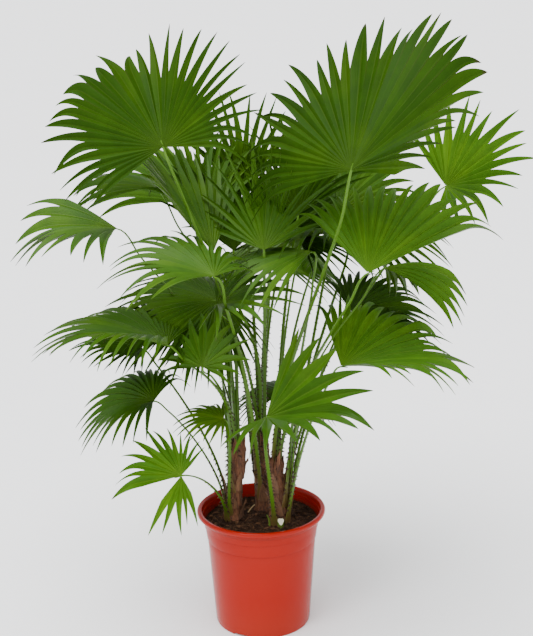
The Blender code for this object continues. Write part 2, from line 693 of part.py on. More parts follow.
def main():
    for old in list(bpy.data.objects):
        bpy.data.objects.remove(old)
    palm = bpy.data.collections.new("Potted footstool palm")
    cutters = bpy.data.collections.new("Cutters")
    for collection in (palm, cutters):
        bpy.context.scene.collection.children.link(collection)
    plastic = material("Terracotta plastic", (0.56, 0.055, 0.022), 0.35)
    earth = material("Soil", (0.030, 0.018, 0.010), 0.95)
    fibre = material("Stem fibre", (0.11, 0.055, 0.025), 0.85)
    green_stalk = material("Petiole", (0.12, 0.26, 0.04), 0.45)
    leaf = material("Leaf", (0.045, 0.17, 0.010), 0.40)

    make_pot(palm, cutters, plastic)
    make_soil(palm, earth)
    tube("cut_stub", *cut_stub_line(), PETIOLE_SIDES, palm, green_stalk)
    plans = plan_petioles()
    solids = []
    for stem in STEMS:
        path, radii = stem_line(stem, STEM_STATIONS), stem_radius(stem, STEM_STATIONS)
        tube(f"stem_{stem.name}", path, radii, STEM_SIDES, palm, fibre)
        solids.append(tube_faces(path, radii))
    for frond in FRONDS:
        path, radii = plans[frond.name]
        tube(f"petiole_{frond.name}", path, radii, PETIOLE_SIDES, palm, green_stalk)
        solids.append(tube_faces(path, radii))
    for frond in FRONDS:
        solids.append(make_blade(frond, tree_of(solids), palm, leaf))


main()
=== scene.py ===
"""Potted footstool palm: the finished looks, built around the packed solids of the plant and its pot.

Metres, +Z up, with the origin at the centre of the pot's underside. The viewer stands at -Y.
"""

import math
from collections import namedtuple

import bpy
import numpy as np
from mathutils import Matrix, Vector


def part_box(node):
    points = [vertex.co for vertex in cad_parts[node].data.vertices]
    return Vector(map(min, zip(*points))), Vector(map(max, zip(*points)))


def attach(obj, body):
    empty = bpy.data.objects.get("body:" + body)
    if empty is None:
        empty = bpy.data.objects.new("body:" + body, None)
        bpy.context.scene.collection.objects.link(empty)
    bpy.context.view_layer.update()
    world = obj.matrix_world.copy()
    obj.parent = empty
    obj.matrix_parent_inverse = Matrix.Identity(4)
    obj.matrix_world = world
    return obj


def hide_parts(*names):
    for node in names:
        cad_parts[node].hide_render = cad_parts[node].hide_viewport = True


bl_info = {
    "name": "Potted Footstool Palm",
    "version": (1, 0, 0),
    "blender": (4, 5, 0),
    "location": "View3D > Sidebar > Palm",
    "description": "Builds a clump of fan palm in a terracotta coloured nursery pot, with a plain studio",
    "category": "Add Mesh",
}

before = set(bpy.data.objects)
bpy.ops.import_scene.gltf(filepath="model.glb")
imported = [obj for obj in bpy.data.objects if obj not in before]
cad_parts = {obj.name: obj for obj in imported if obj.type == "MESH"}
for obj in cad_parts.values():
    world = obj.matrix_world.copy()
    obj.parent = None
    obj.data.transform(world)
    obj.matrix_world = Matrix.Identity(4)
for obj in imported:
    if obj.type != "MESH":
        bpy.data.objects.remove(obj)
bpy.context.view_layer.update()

UP = np.array([0.0, 0.0, 1.0])
RIGHT = np.array([1.0, 0.0, 0.0])
LIP_RADIUS, _, POT_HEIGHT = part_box("pot")[1]
SOIL_RADIUS, _, SOIL_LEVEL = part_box("soil")[1]

# Each row holds a frond's name, the hub where its ribs meet, the midrib's bearing and pitch and the
# blade's roll in degrees, the length of the longest rib, how far the ribs droop, the fold along the
# midrib and the cone of the fan in degrees, the half angle of the fan, the united share of the ribs
# and the leaf's tone. The tones are partly the fronds' own greens and partly painted light and shade:
# lighter greens stand in for fronds in the light, darker ones for fronds in shade.
Frond = namedtuple("Frond", "name hub bearing pitch roll reach droop fold cone spread united tone")
FRONDS = (
    Frond("crown_left", (-0.145, -0.160, 0.923), 127, 60, -40, 0.210, 0.13, 18, -9, 112, 0.66, "deep"),
    Frond("crown_right", (0.154, -0.200, 0.887), 53, 60, -8, 0.280, 0.02, 14, -7, 112, 0.74, "deep"),
    Frond("right_mid", (0.184, -0.170, 0.712), 20, 14, 20, 0.230, 0.20, 12, 12, 108, 0.70, "lush"),
    Frond("right_high", (0.342, 0.060, 0.815), -4, 20, 38, 0.180, 0.05, 4, 22, 108, 0.60, "lush"),
    Frond("low_centre", (0.013, -0.220, 0.482), -20, 14, 24, 0.182, 0.14, 32, -2, 108, 0.60, "green"),
    Frond("right_low", (0.144, -0.100, 0.530), 10, -9, 10, 0.224, 0.30, 10, 20, 105, 0.68, "lush"),
    Frond("low_left", (-0.137, -0.140, 0.348), 195, -10, -46, 0.120, 0.16, 8, 6, 150, 0.58, "lush"),
    Frond("left_low", (-0.188, -0.040, 0.452), 175, -12, -14, 0.160, 1.15, 15, 12, 135, 0.58, "green"),
    Frond("left_long", (-0.152, -0.140, 0.586), 188, 10, 3, 0.228, 0.65, 16, 8, 125, 0.60, "green"),
    Frond("left_high", (-0.237, -0.060, 0.772), 186, 8, -15, 0.180, 0.50, 22, -2, 108, 0.62, "fresh"),
    Frond("spear_left", (-0.072, -0.088, 0.733), 146, 32, 4, 0.212, 0.02, 10, 22, 58, 0.62, "fresh"),
    Frond("mid_left", (-0.067, -0.200, 0.718), 190, 15, -14, 0.185, 0.50, 8, 6, 143, 0.50, "fresh"),
    Frond("left_mid", (-0.216, 0.060, 0.521), 176, 8, -19, 0.130, 0.30, 10, 10, 105, 0.60, "deep"),
    Frond("right_drape", (0.222, -0.050, 0.692), 10, 19, 16, 0.168, 1.20, -30, -8, 75, 0.60, "lush"),
    Frond("small_low", (-0.063, -0.060, 0.422), 188, 4, -12, 0.090, 0.60, 8, 4, 100, 0.50, "bright"),
    Frond("spear_mid", (0.014, -0.090, 0.736), 92, 64, -5, 0.195, 0.08, -14, 4, 66, 0.38, "fresh"),
    Frond("top_back", (-0.023, 0.120, 0.800), 75, 76, 0, 0.180, 0.10, 10, 10, 50, 0.50, "green"),
    Frond("flat_right", (0.096, -0.080, 0.730), 206, -6, -6, 0.170, 0.45, -5, 2, 66, 0.58, "fresh"),
    Frond("right_dark", (0.172, 0.060, 0.585), 12, 0, 20, 0.172, 0.40, 5, 6, 105, 0.60, "deep"),
    Frond("under_left", (-0.072, -0.015, 0.630), 205, 0, -28, 0.205, 0.60, -5, 0, 135, 0.58, "green"),
    Frond("dark_left", (-0.086, 0.100, 0.577), 205, 15, -20, 0.165, 0.90, -20, 5, 115, 0.55, "deep"),
    Frond("crown_under", (-0.178, 0.040, 0.824), 157, 16, -10, 0.160, 0.70, -10, 0, 125, 0.60, "deep"),
    Frond("back_top", (0.145, 0.100, 0.760), 70, 50, 0, 0.190, 0.40, -10, 0, 125, 0.62, "green"),
    Frond("back_left", (-0.125, 0.180, 0.770), 118, 42, 0, 0.210, 0.50, -12, 0, 130, 0.62, "green"),
    Frond("back_middle", (0.026, 0.260, 0.640), 90, 14, 0, 0.225, 0.80, -12, 0, 130, 0.62, "fresh"),
    Frond("back_right", (0.190, 0.210, 0.700), 48, 24, 0, 0.210, 0.70, -12, 0, 130, 0.62, "green"),
    Frond("back_low", (0.050, 0.140, 0.400), 85, 10, 0, 0.150, 0.80, -10, 0, 120, 0.60, "deep"),
)
# Young, small and shaded fronds that stand between the others, most of them in the middle of the clump
INNER_FRONDS = (
    Frond("inner_right", (0.077, 0.080, 0.764), 80, 66, 0, 0.185, 0.20, 10, 8, 62, 0.50, "deep"),
    Frond("inner_left", (-0.041, 0.050, 0.705), 112, 62, 0, 0.200, 0.15, 10, 10, 56, 0.50, "deep"),
    Frond("inner_back", (-0.094, 0.050, 0.769), 115, 60, 0, 0.165, 0.20, 10, 8, 62, 0.55, "green"),
    Frond("inner_hanging", (0.128, 0.030, 0.742), 196, 8, 20, 0.170, 0.75, -8, 4, 80, 0.50, "green"),
    Frond("inner_spear", (0.030, 0.000, 0.720), 84, 80, 0, 0.225, 0.03, 24, 40, 22, 0.42, "fresh"),
    Frond("inner_small", (-0.094, -0.140, 0.546), 60, 50, 0, 0.105, 0.25, 8, 6, 110, 0.55, "fresh"),
    Frond("inner_fan", (-0.067, -0.120, 0.650), -8, 8, 14, 0.150, 0.30, 8, 8, 100, 0.42, "fresh"),
    Frond("inner_shade", (0.052, 0.105, 0.712), 88, 60, 0, 0.150, 0.15, 8, 6, 105, 0.60, "deep"),
    Frond("inner_droop", (0.080, 0.020, 0.722), 4, 4, 10, 0.125, 0.75, -6, 4, 85, 0.45, "deep"),
)
STEMS = ("left", "middle", "right")
INNER_STEMS = {
    "inner_right": "right",
    "inner_left": "left",
    "inner_back": "left",
    "inner_hanging": "right",
    "inner_spear": "middle",
    "inner_small": "left",
    "inner_fan": "middle",
    "inner_shade": "middle",
    "inner_droop": "right",
}
# Fine leaflets for each coarse leaflet of the solids, where it isn't two
FEWER_LEAFLETS = {
    "low_centre": 1.3,
    "right_high": 1.4,
    "mid_left": 1.5,
    "left_high": 1.4,
    "inner_small": 1.2,
    "inner_fan": 1.1,
    "small_low": 1.5,
    "low_left": 1.5,
    "left_low": 1.5,
    "spear_mid": 1.7,
}
# Leaflets that are missing from a blade, as a range of angles from its midrib
RIFTS = {"low_left": (-42.0, 2.0)}
# Fans that end sooner on one side: the angles from the midrib between which their leaflets lie
EDGES = {
    "right_mid": (-109.0, 8.0),
    "right_drape": (-76.0, 42.0),
    "low_centre": (-76.0, 109.0),
    "left_long": (-82.0, 126.0),
    "mid_left": (-50.0, 144.0),
    "low_left": (-98.0, 151.0),
    "right_low": (-106.0, 80.0),
    "right_dark": (-106.0, 84.0),
    "left_low": (-105.0, 136.0),
    "left_high": (-84.0, 36.0),
    "flat_right": (-45.0, 66.0),
    "crown_under": (-48.0, 125.0),
    "back_left": (-70.0, 130.0),
    "crown_right": (-113.0, 101.0),
}
# Joined share of the leaves whose leaflets part unevenly: the greatest share, the angle from the
# midrib where it lies in degrees, and how much of it is lost far from there
JOINED = {
    "crown_left": (0.80, -32.0, 0.33),
    "crown_right": (0.82, 29.0, 0.22),
    "right_mid": (0.79, 0.0, 0.14),
    "right_drape": (0.76, 0.0, 0.12),
}
JOINED_WIDTH = 40.0
# Sides of a blade that fold up: the angles from the midrib between which they rise and between
# which they sink again, and by how many degrees they stand up
CURLS = {"crown_right": (54.0, 80.0, 97.0, 107.0, 15.0)}

# Fans: steps along a rib, and the mean, the swing and the pace with which the ribs' lengths and their
# joined shares fall off round the fan
RIB_STEPS = 24
RIB_FALL = (0.72, 0.28, 0.85)
JOINED_FALL = (0.80, 0.20, 0.90)
DROOP_POWER = 1.5
# Degrees from one coarse leaflet to the next on blades of three lengths
LEAFLET_STEPS = ((0.10, 0.20, 0.28), (20.0, 15.5, 13.5))
FEWEST_LEAFLETS = 6
# Leaflets: rows of points where they are joined and where they are free, columns from edge to edge,
# and the pleat's height over the columns
UNITED_ROWS = 7
FREE_ROWS = 11
COLUMNS = np.array([-1.0, -0.5, 0.0, 0.5, 1.0])
PLEAT_PROFILE = np.array([1.0, 0.12, -1.0, 0.12, 1.0])
FIRST_ROW = 0.014
JOINED_ROW_POWER, FREE_ROW_POWER = 0.8, 0.9
# How unevenly leaflets are cut: their edges stray, they part sooner or later, and some stay in pairs
EDGE_STRAY = 0.17
PARTINGS = (0.92, 1.05)
PAIRED_SHARE = 0.10
PAIRED_PARTINGS = (1.06, 1.20)
LATEST_PARTING = 0.84
LONGEST_LEAFLET = 1.06
LENGTH_LOSS, LENGTH_LOSS_POWER = 0.13, 1.6
LEAST_FREE = 0.18
# How free leaflets narrow to their tips, stray to one side, twist and sag
TAPER_POWER = 0.80
TIP_WIDTH = 0.012
STRAY, STRAY_POWER = 0.34, 1.6
TWIST = 0.32
SAGS = (0.3, 1.8)
SAG_POWER = 2.2
# Swell of a fan: sines of the rib's angle at these paces and heights
SWELL_PACES = np.array([2.3, 4.3])
SWELL_HEIGHTS = (1.0, 0.6)
SLOPE_TURN = 0.02
SLOPE_REACH = 0.03
# How strongly the leaves of each tone gleam, and what a leaf's ribs and lighter leaflets are to its green
SHEENS = {"fresh": 0.14, "green": 0.09, "deep": 0.05, "lush": 0.09, "bright": 0.08}
RIB_TONE = (2.3, 1.55, 2.6)
LIGHTER_TONE = (1.30, 1.18, 1.1)
LIGHTER_SHARE = 0.35
RIB_WIDTH = 0.075
UNDERSIDE_RIB = (0.080, 0.15, 0.018)
UNDERSIDE_RIB_WIDTH, UNDERSIDE_SHEEN = 0.07, 0.10
DRY_TIP = (0.030, 0.026, 0.006)

# Directions along which hardly any of these fine tubes run, and which their sections are turned to
DEAD_FIBRE_SIDE = np.array([0.05, 0.09, 0.99])
LOOSE_FIBRE_SIDE = np.array([0.31, 0.95, 0.05])
THORN_SIDE = np.array([0.21, 0.37, 0.90])

# Seeds of the stems', the blades' and the petioles' random draws, to which each one's number is added
STEM_SEED, BLADE_SEED, STALK_SEED = 40, 100, 300

# Petioles: radius, how it grows with the blade's reach, and the length of the clasping foot
PETIOLE_RADIUS = 0.0026
PETIOLE_RADIUS_PER_REACH = 0.0075
PETIOLE_TAPER = 0.42
PETIOLE_SIDES = 8
FOOT_LENGTH = 0.030
STEM_SIDES = 20

# Pot: the underside from its middle out to the foot, and the steps under the shoulder and the collar,
# as radii and heights from the places where the wall's tapers meet
POT_UNDERSIDE = [
    (0.0004, 0.0), (0.0172, 0.0), (0.0180, 0.0008), (0.0180, 0.0044), (0.0186, 0.0050),
    (0.0800, 0.0050), (0.0808, 0.0044), (0.0810, 0.0006), (0.0816, 0.0), (0.0868, 0.0),
]
SHOULDER_STEP = ((-0.0007, -0.0012), (-0.0007, -0.0004), (0.0011, 0.0004), (0.0015, 0.0030))
COLLAR_STEP = ((-0.0010, -0.0012), (-0.0012, -0.0006), (0.0003, 0.0002), (0.0005, 0.0030))
BASE_RADIUS, WAIST_RADIUS, COLLAR_RADIUS = 0.0890, 0.1015, 0.1065
SHOULDER_HEIGHT, COLLAR_HEIGHT, LIP_HEIGHT = 0.170, 0.194, 0.0095
NOTCH_BEARINGS = (-118.0, 2.0, 122.0)
NOTCH_HEIGHT = 0.0045
# The foot's ring is what lies outside this radius and under this height
FOOT_RING_RADIUS, FOOT_RING_HEIGHT = 0.0805, 0.0046
NOTCH_HALF_ANGLE, NOTCH_EDGE_ANGLE = 0.175, 0.03

# Soil: relief as shares of its height and waves in radians a metre, and the seed of its random draws
SOIL_LUMPS = ((0.55, 70.0), (0.35, 210.0), (0.30, 620.0))
SOIL_SEED = 11
PALE_SOIL = (0.105, 0.052, 0.026)
# How far the soil lies under its level, its mound, and the band along the wall with less relief
SOIL_SUNK, MOUND_HEIGHT, MOUND_RADIUS = 0.0015, 0.004, 0.055
WALL_BAND, WALL_RELIEF = 0.012, 0.35


def unit(vectors):
    """Vectors of length one with the same directions."""
    return vectors / np.maximum(np.linalg.norm(vectors, axis=-1, keepdims=True), 1e-9)


def direction(bearing, pitch):
    """Unit vector at a bearing in plan and a pitch above the level, in degrees."""
    turn, rise = math.radians(bearing), math.radians(pitch)
    return np.array([math.cos(turn) * math.cos(rise), math.sin(turn) * math.cos(rise), math.sin(rise)])


def round_angles(count):
    """Angles evenly round a circle."""
    return np.arange(count) * 2 * math.pi / count


def polar(radius, bearing):
    """Points in plan at a radius and a bearing from the origin."""
    return np.stack([radius * np.cos(bearing), radius * np.sin(bearing)], axis=-1)


def lifted(plan, height):
    """Points that stand over a plan at these heights."""
    height = np.broadcast_to(height, plan.shape[:-1])
    return np.concatenate([plan, height[..., None]], axis=-1)


def ripple(places, rng, waves, count=14):
    """Smooth random relief from about -1 to 1.

    It is the mean of sine waves in random directions, of about that many radians a metre.
    """
    ways = rng.normal(size=(count, 3))
    ways = unit(ways) * (waves * rng.uniform(0.5, 1.6, count))[:, None]
    phases = rng.uniform(0.0, 2 * math.pi, count)
    return np.sin(places @ ways.T + phases).sum(axis=-1) / math.sqrt(count)


class Surface:
    """Collects the tubes of one piece as whole arrays: points, faces, places on it and material numbers."""

    def __init__(self):
        self.points, self.faces, self.places, self.slots = [], [], [], []
        self.count = 0

    def add(self, rings, slots=0, across=None, along=None):
        """Closed tubes from rings of points, shaped (tubes, rows, columns, 3), with a fan at both ends.

        Columns run anticlockwise seen from the tube's head. A face's place is (across, along): across has
        one value more than there are columns, and along one for each row of each tube. Slots are the
        material's number, or one number for each column.
        """
        tubes, rows, columns, _ = rings.shape
        across = np.linspace(0.0, 1.0, columns + 1) if across is None else np.asarray(across)
        along = np.linspace(0.0, 1.0, rows) if along is None else np.asarray(along)
        along = np.broadcast_to(along, (tubes, rows))
        number = np.arange(tubes * rows * columns).reshape(tubes, rows, columns) + self.count
        beside = np.roll(number, -1, axis=2)
        quads = np.stack([number[:, :-1], beside[:, :-1], beside[:, 1:], number[:, 1:]], axis=-1)
        shape = (tubes, rows - 1, columns)
        left, right = (np.broadcast_to(edge, shape) for edge in (across[:-1], across[1:]))
        low, high = (np.broadcast_to(row[..., None], shape) for row in (along[:, :-1], along[:, 1:]))
        self._keep(quads, [left, low, right, low, right, high, left, high], slots)
        hubs = self.count + tubes * rows * columns + np.arange(2 * tubes).reshape(2, tubes)
        for hub, row, turn in ((hubs[0], 0, -1), (hubs[1], rows - 1, 1)):
            near, far = (number, beside)[::turn]
            middle = np.broadcast_to(hub[:, None], (tubes, columns))
            spot = [np.broadcast_to(value, (tubes, columns)) for value in (across[:-1], along[:, row, None])]
            self._keep(np.stack([middle, near[:, row], far[:, row]], axis=-1), spot * 3, slots)
        self.points += [rings.reshape(-1, 3), rings[:, 0].mean(axis=1), rings[:, -1].mean(axis=1)]
        self.count = int(hubs.max()) + 1

    def _keep(self, faces, places, slots):
        """Keeps faces, whose last but one axis runs over the columns, with the places of their corners."""
        columns, size = faces.shape[-2:]
        faces = faces.reshape(-1, size)
        self.faces.append(faces)
        self.places.append(np.stack(places, axis=-1).reshape(-1, 2))
        self.slots.append(np.tile(np.broadcast_to(slots, columns), len(faces) // columns))

    def piece(self, name, materials, crease=35.0):
        """Object at the origin with this surface, smooth but for edges that fold by more than the crease."""
        mesh = bpy.data.meshes.new(name)
        points = np.concatenate(self.points).astype(np.float32)
        corners = np.concatenate([faces.ravel() for faces in self.faces]).astype(np.int32)
        sizes = np.concatenate([np.full(len(faces), faces.shape[1]) for faces in self.faces])
        starts = np.concatenate([[0], np.cumsum(sizes)[:-1]]).astype(np.int32)
        places = np.concatenate(self.places).astype(np.float32)
        mesh.vertices.add(len(points))
        mesh.vertices.foreach_set("co", points.ravel())
        mesh.loops.add(len(corners))
        mesh.loops.foreach_set("vertex_index", corners)
        mesh.polygons.add(len(sizes))
        mesh.polygons.foreach_set("loop_start", starts)
        mesh.polygons.foreach_set("material_index", np.concatenate(self.slots).astype(np.int32))
        mesh.update(calc_edges=True)
        mesh.uv_layers.new(name="UVMap").uv.foreach_set("vector", places.ravel())
        mesh.polygons.foreach_set("use_smooth", np.ones(len(sizes), bool))
        mesh.set_sharp_from_angle(angle=math.radians(crease))
        mesh.validate()
        for material in materials:
            mesh.materials.append(material)
        made = bpy.data.objects.new(name, mesh)
        bpy.context.scene.collection.objects.link(made)
        return made


def placed(made, slot, *nodes):
    """Makes a piece ride with the plant and puts it in place of packed nodes; the slot it is given is not
    used.
    """
    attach(made, "root")
    if nodes:
        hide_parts(*nodes)


def tube_frames(path, side):
    """Tangents of a path, and at each point the side direction and its normal, both square to the path."""
    tangents = unit(np.gradient(path, axis=-2))
    sides = unit(side - (side * tangents).sum(axis=-1, keepdims=True) * tangents)
    return tangents, sides, np.cross(tangents, sides)


def tube_rings(path, side, wide, deep, columns, profile=np.sin):
    """Rings round a path: centre + wide cos(a) side + deep profile(a) normal, for angles a round the path."""
    _, sides, normals = tube_frames(path, side)
    angles = round_angles(columns)
    wide, deep = np.asarray(wide)[..., None, None], np.asarray(deep)[..., None, None]
    ring = wide * np.cos(angles)[:, None] * sides[..., None, :]
    ring = ring + deep * profile(angles)[:, None] * normals[..., None, :]
    return path[..., None, :] + ring


def smooth_path(points, count):
    """Evenly spaced points on the cubic curve through some points, with the mean slope of both sides."""
    spans = np.linalg.norm(np.diff(points, axis=0), axis=1)
    places = np.concatenate([[0.0], np.cumsum(spans)])
    slopes = np.gradient(points, places, axis=0)
    wanted = np.linspace(0.0, places[-1], count)
    low = np.clip(np.searchsorted(places, wanted, side="right") - 1, 0, len(spans) - 1)
    span = spans[low][:, None]
    t = ((wanted - places[low]) / spans[low])[:, None]
    return (
        (2 * t**3 - 3 * t**2 + 1) * points[low]
        + (t**3 - 2 * t**2 + t) * span * slopes[low]
        + (3 * t**2 - 2 * t**3) * points[low + 1]
        + (t**3 - t**2) * span * slopes[low + 1]
    )


def limb_line(node, sides):
    """Centre and mean radius of each ring of a packed limb, from its foot to its tip.

    The foot's ring holds the lowest points, and each further ring those that share an edge with the last.
    """
    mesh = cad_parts[node].data
    points = np.empty(len(mesh.vertices) * 3, np.float32)
    mesh.vertices.foreach_get("co", points)
    mesh.calc_loop_triangles()
    corners = np.empty(len(mesh.loop_triangles) * 3, np.int32)
    mesh.loop_triangles.foreach_get("vertices", corners)
    points, merged = np.unique(np.round(points.reshape(-1, 3), 5), axis=0, return_inverse=True)
    triangles = merged.reshape(-1)[corners].reshape(-1, 3)
    linked = np.zeros((len(points), len(points)), bool)
    for first, second in ((0, 1), (1, 2), (2, 0)):
        linked[triangles[:, first], triangles[:, second]] = True
    linked |= linked.T
    seen = np.zeros(len(points), bool)
    ring = np.argsort(points[:, 2])[:sides]
    centres, radii = [], []
    while len(ring):
        seen[ring] = True
        centre = points[ring].mean(axis=0)
        centres.append(centre)
        radii.append(np.linalg.norm(points[ring] - centre, axis=1).mean())
        ring = np.flatnonzero(linked[ring].any(axis=0) & ~seen)
    return np.array(centres, float), np.array(radii, float)


def between(places, marks, values):
    """Values at some places, read off straight lines between the marks where they are known."""
    columns = np.atleast_2d(np.asarray(values).T)
    return np.stack([np.interp(places, marks, column) for column in columns], axis=-1)


def on_line(path, values, places):
    """Values at shares of a path's length, read off straight lines between its points."""
    spans = np.linalg.norm(np.diff(path, axis=0), axis=1)
    return between(places, np.concatenate([[0.0], np.cumsum(spans)]) / spans.sum(), values)


class Wire:
    """Output of a shader node. Sums, products and the like of wires add Math nodes to the same tree."""

    def __init__(self, tree, socket):
        self.tree, self.socket = tree, socket

    def __add__(self, other):
        return math_node(self.tree, "ADD", self, other)

    def __sub__(self, other):
        return math_node(self.tree, "SUBTRACT", self, other)

    def __rsub__(self, other):
        return math_node(self.tree, "SUBTRACT", other, self)

    def __mul__(self, other):
        return math_node(self.tree, "MULTIPLY", self, other)

    def __truediv__(self, other):
        return math_node(self.tree, "DIVIDE", self, other)

    def ramp(self, low, high):
        """Smooth step from 0 to 1 as the value goes from low to high."""
        inputs = {"Value": self, "From Min": low, "From Max": high}
        return wired(self.tree, "ShaderNodeMapRange", "Result", inputs, interpolation_type="SMOOTHSTEP")

    def split(self):
        """The three parts of a place."""
        node = add_node(self.tree, "ShaderNodeSeparateXYZ", {"Vector": self})
        return [Wire(self.tree, part) for part in node.outputs]

    def noise(self, scale, detail, roughness, stretch=None):
        """Noise from 0 to 1 at a place, pulled out along an axis where a stretch is given."""
        place = self
        if stretch is not None:
            place = wired(self.tree, "ShaderNodeMapping", "Vector", {"Vector": self, "Scale": stretch})
        inputs = {"Vector": place, "Scale": scale, "Detail": detail, "Roughness": roughness}
        return wired(self.tree, "ShaderNodeTexNoise", "Fac", inputs)

    def brightened(self, value):
        """Colour whose value is multiplied."""
        return wired(self.tree, "ShaderNodeHueSaturation", "Color", {"Color": self, "Value": value})

    def bump(self, strength, distance):
        """Normal of a surface that is raised by this height."""
        inputs = {"Height": self, "Strength": strength, "Distance": distance}
        return wired(self.tree, "ShaderNodeBump", "Normal", inputs)


def fill(node, inputs):
    """Gives a node's inputs a value or a wire each."""
    for name, value in inputs.items():
        socket = node.inputs[name]
        if isinstance(value, Wire):
            value.tree.links.new(value.socket, socket)
        elif socket.type == "RGBA":
            socket.default_value = (*value[:3], 1.0)
        else:
            socket.default_value = value


def add_node(tree, kind, inputs=None, **settings):
    """Adds a shader node with its own settings and its inputs' values or wires."""
    made = tree.nodes.new(kind)
    for setting, value in settings.items():
        setattr(made, setting, value)
    fill(made, inputs or {})
    return made


def wired(tree, kind, output, inputs=None, **settings):
    """Adds a shader node and gives one of its outputs."""
    return Wire(tree, add_node(tree, kind, inputs, **settings).outputs[output])


def math_node(tree, operation, *values, clamp=False):
    """Output of a Math node with these values or wires."""
    return wired(tree, "ShaderNodeMath", 0, dict(enumerate(values)), operation=operation, use_clamp=clamp)


def blend(tree, factor, first, second, kind="MIX"):
    """Colour that goes from the first to the second with a factor."""
    inputs = {0: factor, 6: first, 7: second}
    return wired(tree, "ShaderNodeMix", 2, inputs, data_type="RGBA", blend_type=kind)


def coordinates(tree):
    """Places across and along a piece's surface (UV) and in its own space (Object)."""
    given = tree.nodes.new("ShaderNodeTexCoord").outputs
    return Wire(tree, given["UV"]), Wire(tree, given["Object"])


def toned(colour, gains, lift=0.0):
    """Colour whose channels are multiplied by these gains and then lifted."""
    return tuple(min(1.0, channel * gain + lift) for channel, gain in zip(colour, np.broadcast_to(gains, 3)))


def new_group(name, inputs, outputs):
    """Shader node group with named sockets; returns the group, its inputs as wires and its output node."""
    group = bpy.data.node_groups.new(name, "ShaderNodeTree")
    kinds = {"colour": "NodeSocketColor", "value": "NodeSocketFloat"}
    for side, sockets in (("INPUT", inputs), ("OUTPUT", outputs)):
        for label, kind in sockets.items():
            group.interface.new_socket(name=label, in_out=side, socket_type=kinds[kind])
    given = group.nodes.new("NodeGroupInput").outputs
    return group, {label: Wire(group, given[label]) for label in inputs}, group.nodes.new("NodeGroupOutput")


def leaf_group():
    """Leaflet: pale rib, fine veins beside it, pale towards the hub, mottled, and dry at the very tip."""
    group, given, out = new_group(
        "Leaflet",
        {"Leaf": "colour", "Rib": "colour", "Dry": "colour", "Rib Width": "value", "Mottle": "value"},
        {"Colour": "colour", "Roughness": "value", "Height": "value"},
    )
    spot, place = coordinates(group)
    across, along, _ = spot.split()
    from_rib = math_node(group, "ABSOLUTE", across - 0.5)
    rib = 1.0 - (from_rib / given["Rib Width"]).ramp(0.3, 1.0)
    veins = math_node(group, "SINE", across * 75.0)
    patches = place.noise(34.0, detail=4.0, roughness=0.6)
    streaks = spot.noise(9.0, detail=3.0, roughness=0.6, stretch=(5.0, 0.7, 1.0))
    light = (patches + streaks - 1.0) * given["Mottle"] + 1.0
    warm = blend(group, 1.0, given["Leaf"], (1.0, 0.80, 0.5), "MULTIPLY").brightened(1.75)
    warmed = place.noise(11.0, detail=2.0, roughness=0.5).ramp(0.46, 0.66) * 0.45
    colour = blend(group, warmed, given["Leaf"], warm).brightened(light)
    at_hub = (1.0 - along.ramp(0.0, 0.30)) * 0.45
    colour = blend(group, at_hub, colour, given["Rib"])
    colour = blend(group, rib * (0.85 - along * 0.55), colour, given["Rib"])
    dry_edge = from_rib.ramp(0.43, 0.5) * along.ramp(0.5, 0.75) * 0.40
    dry_from = (patches - 0.5) * 0.16 + 0.99
    dry_tip = (along - dry_from).ramp(0.0, 0.06) * 0.85
    colour = blend(group, math_node(group, "MAXIMUM", dry_edge, dry_tip), colour, given["Dry"])
    fill(out, {"Colour": colour, "Roughness": patches * 0.22 + 0.34, "Height": veins * 0.25 + rib})
    return group


def fibre_group():
    """Fibrous skin: streaks that run up the stem in two colours, with dark gaps and a ridge for each."""
    group, given, out = new_group(
        "Fibre",
        {"Light": "colour", "Dark": "colour", "Streaks": "value"},
        {"Colour": "colour", "Height": "value"},
    )
    _, place = coordinates(group)
    fine = place.noise(1.0, detail=5.0, roughness=0.62, stretch=(900.0, 900.0, 60.0))
    broad = place.noise(1.0, detail=3.0, roughness=0.5, stretch=(130.0, 130.0, 26.0))
    cross = place.noise(1.0, detail=2.0, roughness=0.5, stretch=(220.0, 220.0, 300.0))
    mixed = fine * given["Streaks"] + broad * 0.55
    colour = blend(group, mixed.ramp(0.45, 0.85), given["Dark"], given["Light"])
    colour = blend(group, cross.ramp(0.58, 0.70) * 0.5, colour, given["Dark"])
    fill(out, {"Colour": colour, "Height": mixed})
    return group


def grain_group():
    """Fine grain: a mottled shade at two scales and a low relief, for plastic, soil and the cut stalk."""
    group, given, out = new_group(
        "Grain",
        {"Colour": "colour", "Patch": "colour", "Scale": "value", "Amount": "value"},
        {"Colour": "colour", "Height": "value"},
    )
    _, place = coordinates(group)
    fine = place.noise(given["Scale"], detail=5.0, roughness=0.6)
    broad = place.noise(given["Scale"] * 0.13, detail=3.0, roughness=0.55)
    mask = (fine * 0.5 + broad * 0.5).ramp(0.42, 0.68)
    colour = blend(group, mask * given["Amount"], given["Colour"], given["Patch"])
    fill(out, {"Colour": colour, "Height": fine})
    return group


GROUPS = {"Leaflet": leaf_group, "Fibre": fibre_group, "Grain": grain_group}


def use_group(tree, name, values):
    """Puts a shared group into a material with its own values, and gives its outputs as wires."""
    group = bpy.data.node_groups.get(name) or GROUPS[name]()
    made = add_node(tree, "ShaderNodeGroup", values, node_tree=group)
    return {socket.name: Wire(tree, socket) for socket in made.outputs}


def new_material(name, colour):
    """Material with a Principled BSDF, and its node tree."""
    made = bpy.data.materials.new(name)
    made.use_nodes = True
    made.diffuse_color = (*colour, 1.0)
    return made, made.node_tree


def finished(material, inputs):
    """Gives the shader of a material its inputs."""
    fill(material.node_tree.nodes["Principled BSDF"], inputs)
    return material


